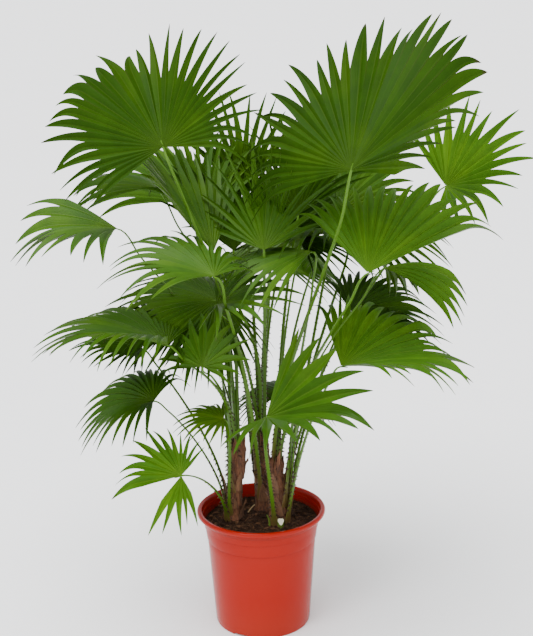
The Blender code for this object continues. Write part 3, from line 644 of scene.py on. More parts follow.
def leaf_material(name, leaf, rib, rib_width, sheen):
    """Waxy leaf in one plain green, with a soft gloss."""
    made, tree = new_material(name, leaf)
    values = {"Leaf": leaf, "Rib": rib, "Dry": DRY_TIP, "Rib Width": rib_width, "Mottle": 0.55}
    found = use_group(tree, "Leaflet", values)
    return finished(made, {
        "Base Color": found["Colour"],
        "Roughness": found["Roughness"],
        "Normal": found["Height"].bump(strength=0.35, distance=0.0006),
        "Specular IOR Level": sheen,
    })


def fibre_material(name, light, dark, roughness):
    """Brown fibre of the leaf bases round a stem."""
    made, tree = new_material(name, light)
    found = use_group(tree, "Fibre", {"Light": light, "Dark": dark, "Streaks": 0.75})
    return finished(made, {
        "Base Color": found["Colour"],
        "Normal": found["Height"].bump(strength=0.8, distance=0.0015),
        "Roughness": roughness,
    })


def grain_material(name, colour, patch, scale, amount, roughness, strength, distance):
    """Matt material with patches of a second colour and a grain."""
    made, tree = new_material(name, colour)
    values = {"Colour": colour, "Patch": patch, "Scale": scale, "Amount": amount}
    found = use_group(tree, "Grain", values)
    return finished(made, {
        "Base Color": found["Colour"],
        "Normal": found["Height"].bump(strength, distance),
        "Roughness": roughness,
        "Specular IOR Level": 0.15,
    })


def plain_material(name, colour, roughness):
    """Thorns, loose fibres and the like: a plain colour with a light grain."""
    darker = toned(colour, 0.5)
    return grain_material(
        name, colour, darker, scale=500.0, amount=0.6, roughness=roughness, strength=0.2, distance=0.0005)


def pot_material(colour):
    """Glossy moulded plastic, with a trace of soil dust on the inside and a faint haze low on the wall."""
    made, tree = new_material("Terracotta plastic", colour)
    values = {"Colour": colour, "Patch": toned(colour, 0.80), "Scale": 40.0, "Amount": 0.10}
    found = use_group(tree, "Grain", values)
    spot, place = coordinates(tree)
    height, inside = place.split()[2], spot.split()[1]
    by_soil = 1.0 - height.ramp(SOIL_LEVEL - 0.002, SOIL_LEVEL + 0.012)
    specks = place.noise(420.0, detail=4.0, roughness=0.7).ramp(0.52, 0.66)
    dust = math_node(tree, "MULTIPLY", inside * by_soil, specks + 0.25, clamp=True)
    haze = (1.0 - height.ramp(0.0, 0.09)) * 0.10
    stained = blend(tree, dust, found["Colour"], (0.030, 0.016, 0.009))
    scuffs = place.noise(18.0, detail=4.0, roughness=0.6)
    return finished(made, {
        "Base Color": blend(tree, haze, stained, (0.40, 0.09, 0.05)),
        "Roughness": scuffs * 0.10 + 0.20 + dust * 0.5,
        "Normal": found["Height"].bump(strength=0.04, distance=0.0006),
        "Specular IOR Level": 0.12,
        "Coat Weight": 0.04,
        "Coat Roughness": 0.10,
    })


def stalk_material(colour, foot_colour):
    """Smooth green petiole that is tan and brown at its foot and lighter towards the blade."""
    made, tree = new_material("Petiole", colour)
    spot, place = coordinates(tree)
    along = spot.split()[1]
    streaks = place.noise(1.0, detail=4.0, roughness=0.6, stretch=(420.0, 420.0, 24.0))
    foot = 1.0 - (along + (streaks - 0.5) * 0.16).ramp(0.02, 0.20)
    green = blend(tree, along.ramp(0.55, 1.0), colour, toned(colour, 1.35))
    green = blend(tree, streaks.ramp(0.50, 0.78), green, toned(colour, 0.62))
    return finished(made, {
        "Base Color": blend(tree, foot, green, foot_colour),
        "Normal": streaks.bump(strength=0.25, distance=0.0008),
        "Roughness": 0.38,
        "Specular IOR Level": 0.18,
    })


def length_setting(name, description, default, **limits):
    """Length that a user may change."""
    return bpy.props.FloatProperty(
        name=name, description=description, default=default, unit="LENGTH", **limits)


def angle_setting(name, description, degrees):
    """Angle that a user may change, shown in degrees."""
    return bpy.props.FloatProperty(
        name=name, description=description, default=math.radians(degrees), subtype="ANGLE")


def count_setting(name, description, default, **limits):
    """Whole number that a user may change."""
    return bpy.props.IntProperty(name=name, description=description, default=default, **limits)


def share_setting(name, description, default, **limits):
    """Share or plain number that a user may change."""
    return bpy.props.FloatProperty(name=name, description=description, default=default, **limits)


def colour_setting(name, description, default):
    """Colour that a user may change."""
    return bpy.props.FloatVectorProperty(
        name=name, description=description, default=default, subtype="COLOR", min=0, max=1)


class PotSettings(bpy.types.PropertyGroup):
    """Sizes and colour of the pot"""

    sides: count_setting("Sides", "Points round the pot", 160, min=24, max=512)
    wall: length_setting("Wall", "Thickness of the plastic", 0.0024, min=0.0005)
    colour: colour_setting("Colour", "Colour of the plastic", (0.30, 0.0075, 0.0015))


class SoilSettings(bpy.types.PropertyGroup):
    """Relief and colour of the potting soil"""

    relief: length_setting("Relief", "Height of the soil's lumps", 0.0042, min=0)
    crumbs: count_setting("Crumbs", "Loose crumbs on the soil", 900, min=0)
    colour: colour_setting("Colour", "Colour of the moist soil", (0.025, 0.011, 0.006))


class StemSettings(bpy.types.PropertyGroup):
    """Sizes and colours of the stems' fibrous skin"""

    rise: length_setting("Sheath rise", "How far the fibrous sheaths stand above a stem", 0.030, min=0)
    strands: count_setting("Strands", "Loose fibres on each stem", 110, min=0)
    light: colour_setting("Light fibre", "Colour of the outer fibres", (0.20, 0.075, 0.030))
    dark: colour_setting("Dark fibre", "Colour between the fibres", (0.035, 0.014, 0.007))


class StalkSettings(bpy.types.PropertyGroup):
    """Sizes and colours of the petioles"""

    thorn: length_setting("Thorn", "Length of the longest thorns", 0.0070, min=0)
    spacing: length_setting("Thorn spacing", "Distance between thorns", 0.0098, min=0.002)
    colour: colour_setting("Colour", "Green of the petioles", (0.052, 0.120, 0.007))
    foot: colour_setting("Foot colour", "Tan of the petioles' feet", (0.110, 0.070, 0.022))


class BladeSettings(bpy.types.PropertyGroup):
    """Sizes and colours of the leaf blades"""

    thickness: length_setting("Thickness", "Thickness of a leaflet", 0.0006, min=0.0001)
    pleat: angle_setting("Pleat", "Slope of the pleats' sides", 35.0)
    tip_sag: share_setting("Tip sag", "How far free tips bend down, as a share of the leaf", 0.10, min=0)
    wave: share_setting("Wave", "Swell of the whole fan, as a share of the leaf", 0.028, min=0)
    fresh: colour_setting("Fresh", "Green of well lit leaves", (0.028, 0.084, 0.0020))
    green: colour_setting("Green", "Green of most leaves", (0.023, 0.070, 0.0018))
    # Deep: a darker green for the crowns and the fronds deep in the clump, partly their own colour and partly
    # painted shade
    deep: colour_setting("Deep", "Green of older leaves", (0.0145, 0.046, 0.0010))
    # A brighter green for fronds that catch the light, partly their own colour and partly painted light
    lush: colour_setting("Lush", "Green of the strongest leaves", (0.038, 0.112, 0.0028))
    # The palest green, on a small frond low in the clump: partly its own colour and partly painted light
    bright: colour_setting("Bright", "Green of the palest leaf", (0.055, 0.135, 0.0025))
    underside: colour_setting("Underside", "Duller green below", (0.036, 0.084, 0.007))


class StageSettings(bpy.types.PropertyGroup):
    """Camera and floor of the studio"""

    distance: length_setting("Distance", "How far the camera stands in front of the pot", 2.2)
    height: length_setting("Height", "Height of the camera", 1.197)
    offset: length_setting("Offset", "How far the camera stands to the right", 0.0163)
    pitch: angle_setting("Pitch", "How far the camera looks down", 15.39)
    roll: angle_setting("Roll", "Tilt of the camera about its view", -1.01)
    lens: share_setting("Focal length", "Focal length in millimetres for a 36 mm high sensor", 71.94)
    floor: colour_setting("Floor", "Colour of the floor", (0.90, 0.905, 0.92))


def pot_profile(wall):
    """Radii and heights: from the underside's middle out, up the outer wall, over the lip and down inside.

    The wall is two straight tapers that meet at a small step under the collar. The lip is an arc rolled out.
    """
    turn = np.linspace(-0.5 * math.pi, 0.0, 6)
    foot = POT_UNDERSIDE + list(zip(0.0868 + 0.0020 * np.cos(turn), 0.0022 + 0.0022 * np.sin(turn)))
    heights = np.linspace(0.004, SHOULDER_HEIGHT - 0.0024, 12)
    outer = list(zip(np.interp(heights, (0.0, SHOULDER_HEIGHT), (BASE_RADIUS, WAIST_RADIUS)), heights))
    outer += [(WAIST_RADIUS + out, SHOULDER_HEIGHT + up) for out, up in SHOULDER_STEP]
    outer += [(COLLAR_RADIUS + out, COLLAR_HEIGHT + up) for out, up in COLLAR_STEP]
    under = POT_HEIGHT - LIP_HEIGHT
    outer += [
        (COLLAR_RADIUS + 0.0018, under - 0.003),
        (COLLAR_RADIUS + 0.0026, under - 0.0008),
        (LIP_RADIUS - 0.0050, under - 0.0004),
    ]
    roll = np.linspace(-0.42 * math.pi, 0.62 * math.pi, 13)
    rolled, raised = 0.0042, 0.0046
    lip = zip(LIP_RADIUS - rolled + rolled * np.cos(roll), POT_HEIGHT - raised + raised * np.sin(roll))
    inner = [
        (LIP_RADIUS - 0.0082, POT_HEIGHT - 0.0012),
        (LIP_RADIUS - 0.0094, POT_HEIGHT - 0.0030),
        (LIP_RADIUS - 0.0105, under - 0.002),
        (COLLAR_RADIUS - wall + 0.001, COLLAR_HEIGHT + 0.001),
        (COLLAR_RADIUS - wall - 0.001, COLLAR_HEIGHT - 0.003),
        (WAIST_RADIUS - wall, SHOULDER_HEIGHT),
        (BASE_RADIUS - wall + 0.0008, 0.010),
        (BASE_RADIUS - wall - 0.002, 0.0076),
        (0.0004, 0.0074),
    ]
    return np.array(foot + outer + list(lip) + inner)


class PALM_OT_pot(bpy.types.Operator):
    """Build the nursery pot with its rolled lip, collar and notched foot"""

    bl_idname = "palm.pot"
    bl_label = "Build Pot"

    def execute(self, context):
        """Turns the profile about +Z and raises the foot's ring to a notch at three bearings."""
        settings = context.scene.palm_pot
        profile = pot_profile(settings.wall)
        angles = round_angles(settings.sides)
        radii, heights = profile[:, :1], profile[:, 1:]
        window = np.zeros(settings.sides)
        for bearing in NOTCH_BEARINGS:
            off = np.abs((angles - math.radians(bearing) + math.pi) % (2 * math.pi) - math.pi)
            window = np.maximum(window, np.clip((NOTCH_HALF_ANGLE - off) / NOTCH_EDGE_ANGLE, 0.0, 1.0))
        in_foot = (radii > FOOT_RING_RADIUS) & (heights < FOOT_RING_HEIGHT)
        notched = np.where(in_foot, np.maximum(heights, NOTCH_HEIGHT * window), heights)
        inside = np.arange(len(profile)) > profile[:, 1].argmax()
        surface = Surface()
        surface.add(lifted(polar(radii, angles), notched)[None], along=inside * 1.0)
        made = surface.piece("pot_shell", [pot_material(tuple(settings.colour))], crease=28.0)
        placed(made, "pot", "pot")
        return {"FINISHED"}


def soil_height(plan, relief):
    """Height of the soil: its level, a mound in the middle, lumps at three scales, and sunk at the wall."""
    rng = np.random.default_rng(SOIL_SEED)
    places = lifted(plan, 0.0)
    radius = np.linalg.norm(plan, axis=-1)
    coarse, middle, fine = (share * ripple(places, rng, waves) for share, waves in SOIL_LUMPS)
    lumps = coarse + np.abs(middle) + fine
    mound = MOUND_HEIGHT * np.exp(-((radius / MOUND_RADIUS) ** 2))
    from_wall = np.clip((SOIL_RADIUS - radius) / WALL_BAND, 0.0, 1.0)
    return SOIL_LEVEL - SOIL_SUNK + mound + relief * lumps * (WALL_RELIEF + (1 - WALL_RELIEF) * from_wall)


class PALM_OT_soil(bpy.types.Operator):
    """Build the potting soil with its lumps, crumbs, chips, a dry twig and dead fibres"""

    bl_idname = "palm.soil"
    bl_label = "Build Soil"

    def execute(self, context):
        settings = context.scene.palm_soil
        earth = grain_material(
            "Potting soil", tuple(settings.colour), PALE_SOIL,
            scale=480.0, amount=0.75, roughness=0.92, strength=1.0, distance=0.004)
        self.bed(settings, earth)
        self.crumbs(settings, earth)
        self.twig()
        self.fibres(settings)
        return {"FINISHED"}

    def bed(self, settings, earth):
        """Soil turned about +Z: up the inside of the pot, then inwards over the lumpy top."""
        angles = round_angles(200)
        side = np.array([(0.0004, 0.0079), (0.0856, 0.0079), (0.0990, 0.170), (0.1020, 0.196)])
        below = lifted(polar(side[:, :1], angles), side[:, 1:])
        plan = polar(SOIL_RADIUS * np.linspace(0.999, 0.004, 70)[:, None], angles)
        surface = Surface()
        surface.add(np.concatenate([below, lifted(plan, soil_height(plan, settings.relief))])[None])
        placed(surface.piece("potting_soil", [earth], crease=80.0), "soil", "soil")

    def crumbs(self, settings, earth):
        """Crumbs are lumpy ovals with random axes, and chips are the same but long and flat."""
        rng = np.random.default_rng(SOIL_SEED + 1)
        count, chip_share, pale_share = settings.crumbs, 0.22, 0.16
        finest, coarser = 0.0010, 0.0030
        radius = SOIL_RADIUS * 0.97 * np.sqrt(rng.uniform(0.0, 1.0, count))
        bearing = rng.uniform(0.0, 2 * math.pi, count)
        size = finest + coarser * rng.uniform(0.0, 1.0, count) ** 2
        flat = rng.uniform(0.35, 0.9, count)
        chips = rng.uniform(size=count) < chip_share
        long = np.where(chips, rng.uniform(1.8, 3.4, count), rng.uniform(0.8, 1.3, count))
        radius = np.minimum(radius, SOIL_RADIUS - 1.4 * size * np.maximum(long, 1.0))
        plan = polar(radius, bearing)
        height = soil_height(plan, settings.relief) + 0.35 * size * flat
        spin = rng.uniform(0.0, math.pi, count)[:, None, None]
        rows, columns = 4, 7
        lift = np.linspace(-0.75, 0.85, rows)
        belly = np.sqrt(1 - lift**2)[None, :, None] * (1 + 0.22 * rng.normal(size=(count, rows, columns)))
        oval = lifted(polar(belly, round_angles(columns)), lift[None, :, None])
        oval = oval * np.stack([long, np.ones(count), flat], axis=-1)[:, None, None]
        x, y, z = np.moveaxis(oval * size[:, None, None, None], -1, 0)
        plan_x, plan_y = x * np.cos(spin) - y * np.sin(spin), x * np.sin(spin) + y * np.cos(spin)
        lumps = np.stack([plan_x, plan_y, z], axis=-1) + lifted(plan, height)[:, None, None]
        pale = rng.uniform(size=count) < pale_share
        surface = Surface()
        surface.add(lumps[~pale], slots=0)
        surface.add(lumps[pale], slots=1)
        bark = grain_material(
            "Bark chips", (0.095, 0.045, 0.022), PALE_SOIL,
            scale=800.0, amount=0.6, roughness=0.9, strength=0.5, distance=0.001)
        placed(surface.piece("soil_crumbs", [earth, bark], crease=60.0), "soil")

    def twig(self):
        """Dry twig that lies on the soil: a tube along a shallow arc."""
        wide, deep, arch = 0.0011, 0.0009, 0.003
        start = np.array([-0.025, 0.018, SOIL_LEVEL + 0.0035])
        end = np.array([-0.006, 0.044, SOIL_LEVEL + 0.011])
        t = np.linspace(0.0, 1.0, 9)[:, None]
        line = start + (end - start) * t + UP * arch * np.sin(math.pi * t)
        surface = Surface()
        surface.add(tube_rings(line, RIGHT, wide, deep, 8)[None])
        straw = grain_material(
            "Dry twig", (0.42, 0.30, 0.16), (0.20, 0.12, 0.06),
            scale=700.0, amount=0.6, roughness=0.8, strength=0.4, distance=0.0005)
        placed(surface.piece("dry_twig", [straw]), "soil")

    def fibres(self, settings):
        """Fine dead fibres on the soil: hair thin tubes, each an arc that turns a little to one side."""
        rng = np.random.default_rng(SOIL_SEED + 2)
        count, rows = 150, 8
        radius = SOIL_RADIUS * 0.90 * np.sqrt(rng.uniform(0.0, 1.0, count))
        bearing, heading = rng.uniform(0.0, 2 * math.pi, (2, count))
        t = np.linspace(0.0, 1.0, rows)
        swing = heading[:, None] + rng.normal(0.0, 1.1, count)[:, None] * t
        step = rng.uniform(0.006, 0.020, count)[:, None] / rows
        plan = polar(radius, bearing)[:, None] + np.cumsum(polar(step, swing), axis=1)
        plan *= np.minimum(1.0, 0.97 * SOIL_RADIUS / np.linalg.norm(plan, axis=-1, keepdims=True))
        height = soil_height(plan, settings.relief) + 0.0006 + 0.0016 * np.sin(math.pi * t)
        width = rng.uniform(0.00018, 0.00045, count)[:, None] * (1 - 0.5 * t)
        surface = Surface()
        surface.add(tube_rings(lifted(plan, height), DEAD_FIBRE_SIDE, width, width, 4))
        dead = plain_material("Dead fibre", (0.17, 0.085, 0.040), 0.85)
        placed(surface.piece("soil_fibres", [dead]), "soil")


class PALM_OT_stems(bpy.types.Operator):
    """Build the stems with their fibrous sheaths, old leaf bases and loose fibres"""

    bl_idname = "palm.stems"
    bl_label = "Build Stems"

    def execute(self, context):
        settings = context.scene.palm_stems
        fibre = fibre_material("Stem fibre", tuple(settings.light), tuple(settings.dark), 0.85)
        dry = fibre_material("Old leaf base", (0.19, 0.085, 0.034), (0.055, 0.024, 0.011), 0.8)
        strand = plain_material("Loose fibre", (0.10, 0.045, 0.020), 0.8)
        for number, stem in enumerate(STEMS):
            rng = np.random.default_rng(STEM_SEED + number)
            node = f"stem_{stem}"
            line, radii = limb_line(node, STEM_SIDES)
            trunk = self.trunk(line, radii, rng, settings.rise)
            placed(trunk.piece(f"{node}_trunk", [fibre], crease=70.0), "stem", node)
            bases = self.leaf_bases(line, radii, rng)
            placed(bases.piece(f"{node}_leaf_bases", [dry], crease=60.0), "stem")
            strands = self.strands(line, radii, rng, settings.strands)
            placed(strands.piece(f"{node}_fibres", [strand]), "stem")
        return {"FINISHED"}

    def trunk(self, line, radii, rng, rise):
        """Tube round the stem's line, with an open, ragged top that turns back down inside.

        Its radius swells and thins with upright ridges, and steps in at each old sheath, whose edge winds
        up the stem.
        """
        rows, columns = 70, 110
        ridge_height, step_height, windings = 0.0007, 0.0022, 5.5
        ragged_from, ragged_share, fray_height, flare = 0.72, 0.28, 0.012, 0.0035
        top = line[-1] + UP * rise
        path = np.concatenate([line[:1] - UP * 0.006, line, top[None]])
        girth = np.concatenate([radii[:1], radii, radii[-1:] * 0.92])
        share = np.linspace(0.0, 1.0, rows)
        centre = on_line(path, path, share)
        radius = on_line(path, girth, share)
        angles = round_angles(columns)
        around = lifted(polar(1.0, angles), 0.0)
        spread_out = np.broadcast_to(around[:, :2] * 3.0, (rows, columns, 2))
        ridge_places = lifted(spread_out, share[:, None] * 0.7)
        ridges = ripple(ridge_places, rng, 9.0, 20)
        lumps = ripple(ridge_places, rng, 2.2, 10)
        winding = (share[:, None] * windings + angles / (2 * math.pi) + 0.10 * lumps) % 1.0
        step = step_height * (1.0 - winding) ** 1.5
        frayed = ripple(around * 6.0, rng, 5.0, 16)
        reach = radius * (0.97 + 0.05 * lumps) + ridge_height * ridges + step
        rings = centre[:, None] + around * reach[..., None]
        lift = np.clip((share - ragged_from) / ragged_share, 0.0, 1.0)[:, None] ** 2
        rings[..., 2] += lift * fray_height * frayed
        rings += (lift * flare * (0.4 + np.abs(frayed)))[..., None] * around
        pull, drop = np.array([(0.0012, 0.0004), (0.0020, 0.012), (0.0030, 0.026)]).T[:, :, None, None]
        inner = rings[-1] - (around * pull + UP * drop)
        surface = Surface()
        surface.add(np.concatenate([rings, inner])[None])
        return surface

    def leaf_bases(self, line, radii, rng):
        """Old leaf bases: curved tongues that hug the stem, broad below, pointed above and bent away there.

        Each is a thin tube whose rings are flat ovals, as wide as the tongue across the stem and as deep
        as its thickness through it.
        """
        count, rows, columns = 9, 12, 10
        shortest, longest, thickest, bend, fray_length = 0.024, 0.044, 0.0016, 0.0075, 0.0016
        t = np.linspace(0.0, 1.0, rows)
        turn = round_angles(columns)
        rings = []
        for number in range(count):
            share = 0.03 + 0.80 * number / count
            bearing = 2.4 * number + rng.uniform(-0.4, 0.4)
            length = rng.uniform(shortest, longest)
            girth = float(on_line(line, radii, [share])[0, 0])
            foot = on_line(line, line, [share])[0]
            half = (0.75 * girth) * (1 - t**2.2) * (0.65 + 0.35 * np.exp(-3 * t)) + 0.0006
            thick = thickest * (1 - 0.7 * t) + 0.0003
            away = girth * 1.02 + 0.0006 + bend * t**2.2
            swing = bearing + (half / girth)[:, None] * np.cos(turn)
            reach = away[:, None] + thick[:, None] * np.sin(turn)
            fray = fray_length * rng.normal(size=columns) * np.clip((t - 0.7) / 0.3, 0, 1)[:, None]
            tongue = lifted(foot[:2] + polar(reach, swing), foot[2] + t[:, None] * length + fray)
            rings.append(tongue[:, ::-1])
        surface = Surface()
        surface.add(np.array(rings))
        return surface

    def strands(self, line, radii, rng, count):
        """Loose fibres: hair thin tubes that start on the stem and curve out, up or down, and round it."""
        shortest, longest, farthest, finest, coarsest = 0.010, 0.034, 0.010, 0.00016, 0.00034
        share = rng.uniform(0.05, 1.0, count)
        bearing = rng.uniform(0.0, 2 * math.pi, count)
        girth = on_line(line, radii, share)
        foot = on_line(line, line, share)
        length = rng.uniform(shortest, longest, count)
        lean = rng.choice([1.0, 1.0, -0.6], count)
        t = np.linspace(0.0, 1.0, 7)
        swing = bearing[:, None] + rng.normal(0.0, 0.5, count)[:, None] * t
        away = girth * 0.98 + 0.001 + rng.uniform(0.0, farthest, count)[:, None] * t**2
        path = lifted(foot[:, None, :2] + polar(away, swing), foot[:, 2:] + (length * lean)[:, None] * t)
        width = rng.uniform(finest, coarsest, count)[:, None] * (1 - 0.7 * t)
        surface = Surface()
        surface.add(tube_rings(path, LOOSE_FIBRE_SIDE, width, width, 4))
        return surface


class PALM_OT_stub(bpy.types.Operator):
    """Build the cut end of an old petiole and a young shoot beside the right stem"""

    bl_idname = "palm.stub"
    bl_label = "Build Cut Stub"

    def execute(self, context):
        """Tube along the packed stub, swollen by sines of the bearing, cut at a slant, with a pale pith."""
        line, radii = limb_line("cut_stub", PETIOLE_SIDES)
        foot, top, radius = line[0] - UP * 0.004, line[-1], float(radii.mean())
        angles = round_angles(28)
        path = foot + (top - foot) * np.linspace(0.0, 1.0, 8)[:, None]
        shape = radius * (1.20 + 0.20 * np.sin(3 * angles) + 0.08 * np.cos(2 * angles + 0.7))
        rings = path[:, None] + lifted(polar(1.0, angles), 0.0) * shape[:, None]
        slant = 0.9 * (rings[-1, :, 1] - top[1])
        rings[-1, :, 2] += slant
        rings[-2, :, 2] += 0.5 * slant
        spans = np.array([1.0, 0.90, 0.86, 0.25])[:, None, None]
        raised = np.array([-0.0004, 0.0002, 0.0004, 0.0002])[:, None, None]
        cut = top + (rings[-1] - top) * spans + UP * raised
        skin = grain_material(
            "Old petiole skin", (0.10, 0.16, 0.02), (0.05, 0.05, 0.015),
            scale=500.0, amount=0.6, roughness=0.6, strength=0.4, distance=0.001)
        pith = grain_material(
            "Cut pith", (0.80, 0.76, 0.58), (0.55, 0.45, 0.26),
            scale=900.0, amount=0.35, roughness=0.75, strength=0.5, distance=0.0008)
        surface = Surface()
        surface.add(rings[None], slots=0)
        surface.add(cut[None], slots=1)
        surface.add(self.shoot()[None], slots=0)
        placed(surface.piece("stub_cut", [skin, pith], crease=45.0), "stub", "cut_stub")
        return {"FINISHED"}

    def shoot(self):
        """Rings of a young green shoot in front of the stub: a tapering tube that leans to the left."""
        shoot = np.array([
            (0.0145, -0.042, 0.200), (0.0155, -0.041, 0.210),
            (0.0140, -0.040, 0.219), (0.0105, -0.039, 0.226),
        ])
        line = smooth_path(shoot, 10)
        width = np.interp(np.arange(10), (0, 6, 9), (0.0024, 0.0018, 0.0010))
        return tube_rings(line, RIGHT, width, width, 8)


def frond_axes(frond):
    """Midrib, upper normal and side direction of a blade at its hub."""
    midrib = direction(frond.bearing, frond.pitch)
    level_normal = unit(UP - (UP @ midrib) * midrib)
    roll = math.radians(frond.roll)
    normal = math.cos(roll) * level_normal + math.sin(roll) * np.cross(midrib, level_normal)
    return midrib, normal, np.cross(midrib, normal)


def fall(angles, mean, swing, pace):
    """Value that is highest at the midrib and falls off round to the base."""
    return mean + swing * np.cos(pace * angles)


def rib_length(frond, angles):
    """Length of the rib at an angle from the midrib: longest at the midrib, shorter round to the base."""
    return frond.reach * fall(angles, *RIB_FALL)


def united_share(frond, angles):
    """Share of a rib's length along which its leaflet is joined to the next one."""
    if frond.name in JOINED:
        most, where, loss = JOINED[frond.name]
        away = (np.degrees(angles) - where) / JOINED_WIDTH
        return most * (1 - loss * (1 - np.exp(-(away**2))))
    return frond.united * fall(angles, *JOINED_FALL)


def rib_points(frond, angles, shares):
    """Points at shares of the ribs at some angles: each rib starts in the folded fan and then turns down.

    A rib's start is (cos angle midrib + sin angle side) tilted up by the cone and the fold, and its heading
    after a share u is that start less droop u^1.5 straight down. The point is the sum of the steps so far.
    """
    midrib, normal, side = frond_axes(frond)
    flat_angles, flat_shares = angles.ravel(), np.maximum(shares, 0.0).ravel()
    rise = math.radians(frond.cone) + math.radians(frond.fold) * np.abs(np.sin(flat_angles))
    if frond.name in CURLS:
        *turns, curl = CURLS[frond.name]
        rise = rise + math.radians(curl) * np.interp(np.degrees(flat_angles), turns, (0.0, 1.0, 1.0, 0.0))
    flat = np.cos(flat_angles)[:, None] * midrib + np.sin(flat_angles)[:, None] * side
    start = flat * np.cos(rise)[:, None] + np.sin(rise)[:, None] * normal
    sag = frond.droop * ((np.arange(RIB_STEPS) + 0.5) / RIB_STEPS) ** DROOP_POWER
    steps = unit(start[:, None, :] - sag[None, :, None] * UP)
    steps = steps * (rib_length(frond, flat_angles) / RIB_STEPS)[:, None, None]
    path = np.concatenate([np.zeros((len(flat_angles), 1, 3)), np.cumsum(steps, axis=1)], axis=1)
    place = flat_shares * RIB_STEPS
    low = np.minimum(place.astype(int), RIB_STEPS - 1)
    rest = (place - low)[:, None]
    rows = np.arange(len(path))
    points = path[rows, low] * (1 - rest) + path[rows, low + 1] * rest
    return np.array(frond.hub) + points.reshape(angles.shape + (3,))


def leaflet_count(frond):
    """Leaflets of a blade: a large blade has more of them."""
    coarse = max(FEWEST_LEAFLETS, round(2 * frond.spread / float(np.interp(frond.reach, *LEAFLET_STEPS))))
    return round(FEWER_LEAFLETS.get(frond.name, 2) * coarse)


def kept_leaflets(frond, ribs):
    """Which leaflets a blade has, by their ribs' angles: not those in its rift or past its edges."""
    turns = np.degrees(ribs)
    first, last = EDGES.get(frond.name, (-180.0, 180.0))
    kept = (turns > first) & (turns < last)
    if frond.name in RIFTS:
        start, end = RIFTS[frond.name]
        kept &= (turns < start) | (turns > end)
    return kept


def fan_rings(frond, settings, rng):
    """Rings round every leaflet of a blade, shaped (leaflets, rows, columns, 3).

    A leaflet's columns lie between its two edges. Up to the parting they keep their angle, so neighbours
    meet at their edges, and past it the leaflet narrows, strays to one side, twists and sags. Partings
    differ from edge to edge, so some leaflets stay joined in pairs. Across a leaflet the surface rises
    from the rib to each edge by the pleat's slope, and the whole fan waves by sines of the rib's angle.
    """
    spread = math.radians(frond.spread)
    count = leaflet_count(frond)
    cuts = np.linspace(-spread, spread, count + 1)
    cuts[1:-1] += rng.uniform(-EDGE_STRAY, EDGE_STRAY, count - 1) * (2 * spread / count)
    partings = united_share(frond, cuts) * rng.uniform(*PARTINGS, count + 1)
    paired = rng.uniform(size=count + 1) < PAIRED_SHARE
    partings *= np.where(paired, rng.uniform(*PAIRED_PARTINGS, count + 1), 1.0)
    partings = np.minimum(partings, LATEST_PARTING)
    ribs, half = 0.5 * (cuts[1:] + cuts[:-1]), 0.5 * np.diff(cuts)
    left, right = partings[:-1, None], partings[1:, None]
    parting = left + (right - left) * 0.5 * (COLUMNS + 1)
    length = LONGEST_LEAFLET - LENGTH_LOSS * rng.uniform(0.0, 1.0, count) ** LENGTH_LOSS_POWER
    length = np.maximum(length, parting.max(axis=1) + LEAST_FREE)
    stray = rng.normal(0.0, STRAY, count) * half
    twist = rng.normal(0.0, TWIST, count)
    sag = settings.tip_sag * frond.reach * rng.uniform(*SAGS, count)
    seams = np.concatenate([half[:1], 0.5 * (half[1:] + half[:-1]), half[-1:]])
    near, far = seams[:-1], seams[1:]
    relief = np.stack([near, 0.5 * (near + half), half, 0.5 * (half + far), far], axis=1)

    kept = kept_leaflets(frond, ribs)
    parting, relief = parting[kept, None], relief[kept, None]
    ribs, half, length, stray, twist, sag = (
        values[kept, None, None] for values in (ribs, half, length, stray, twist, sag))
    joined = np.linspace(0.0, 1.0, UNITED_ROWS) ** JOINED_ROW_POWER
    joined[0] = FIRST_ROW
    free = np.linspace(0.0, 1.0, FREE_ROWS + 1)[1:] ** FREE_ROW_POWER
    joined_shares = parting * joined[:, None]
    free_shares = parting + (length - parting) * free[:, None]
    shares = np.concatenate([joined_shares, free_shares], axis=1)
    t = np.concatenate([np.zeros(UNITED_ROWS), free])[:, None]
    narrowed = np.minimum(parting / shares, 1.0) * (1 - t) ** TAPER_POWER + TIP_WIDTH
    width = np.where(t > 0, narrowed, 1.0)
    angles = ribs + half * COLUMNS * width + stray * t**STRAY_POWER
    points = rib_points(frond, angles, shares)
    across = rib_points(frond, angles + SLOPE_TURN, shares) - rib_points(frond, angles - SLOPE_TURN, shares)
    before = rib_points(frond, angles, np.maximum(shares - SLOPE_REACH, 0.0))
    along = rib_points(frond, angles, shares + SLOPE_REACH) - before
    normals = unit(np.cross(across, along))
    level = 1.0 - unit(along)[..., 2] ** 2
    outward = width * shares * rib_length(frond, angles)
    phases = rng.uniform(0.0, 2 * math.pi, len(SWELL_PACES))
    swell = (np.sin(angles[..., None] * SWELL_PACES + phases) * SWELL_HEIGHTS).sum(axis=-1)
    pleat = 0.5 * relief * math.tan(settings.pleat) * PLEAT_PROFILE
    lift = outward * (pleat + half * COLUMNS * np.sin(twist) * t)
    lift = lift + settings.wave * frond.reach * swell * shares**2
    points = points - (sag * t**SAG_POWER * level)[..., None] * UP
    thickness = 0.5 * settings.thickness * (1 - 0.5 * t)[..., None]
    raised = points + normals * lift[..., None]
    top, bottom = raised + normals * thickness, raised - normals * thickness
    return np.concatenate([top, bottom[:, :, ::-1]], axis=2), shares[:, :, len(COLUMNS) // 2]


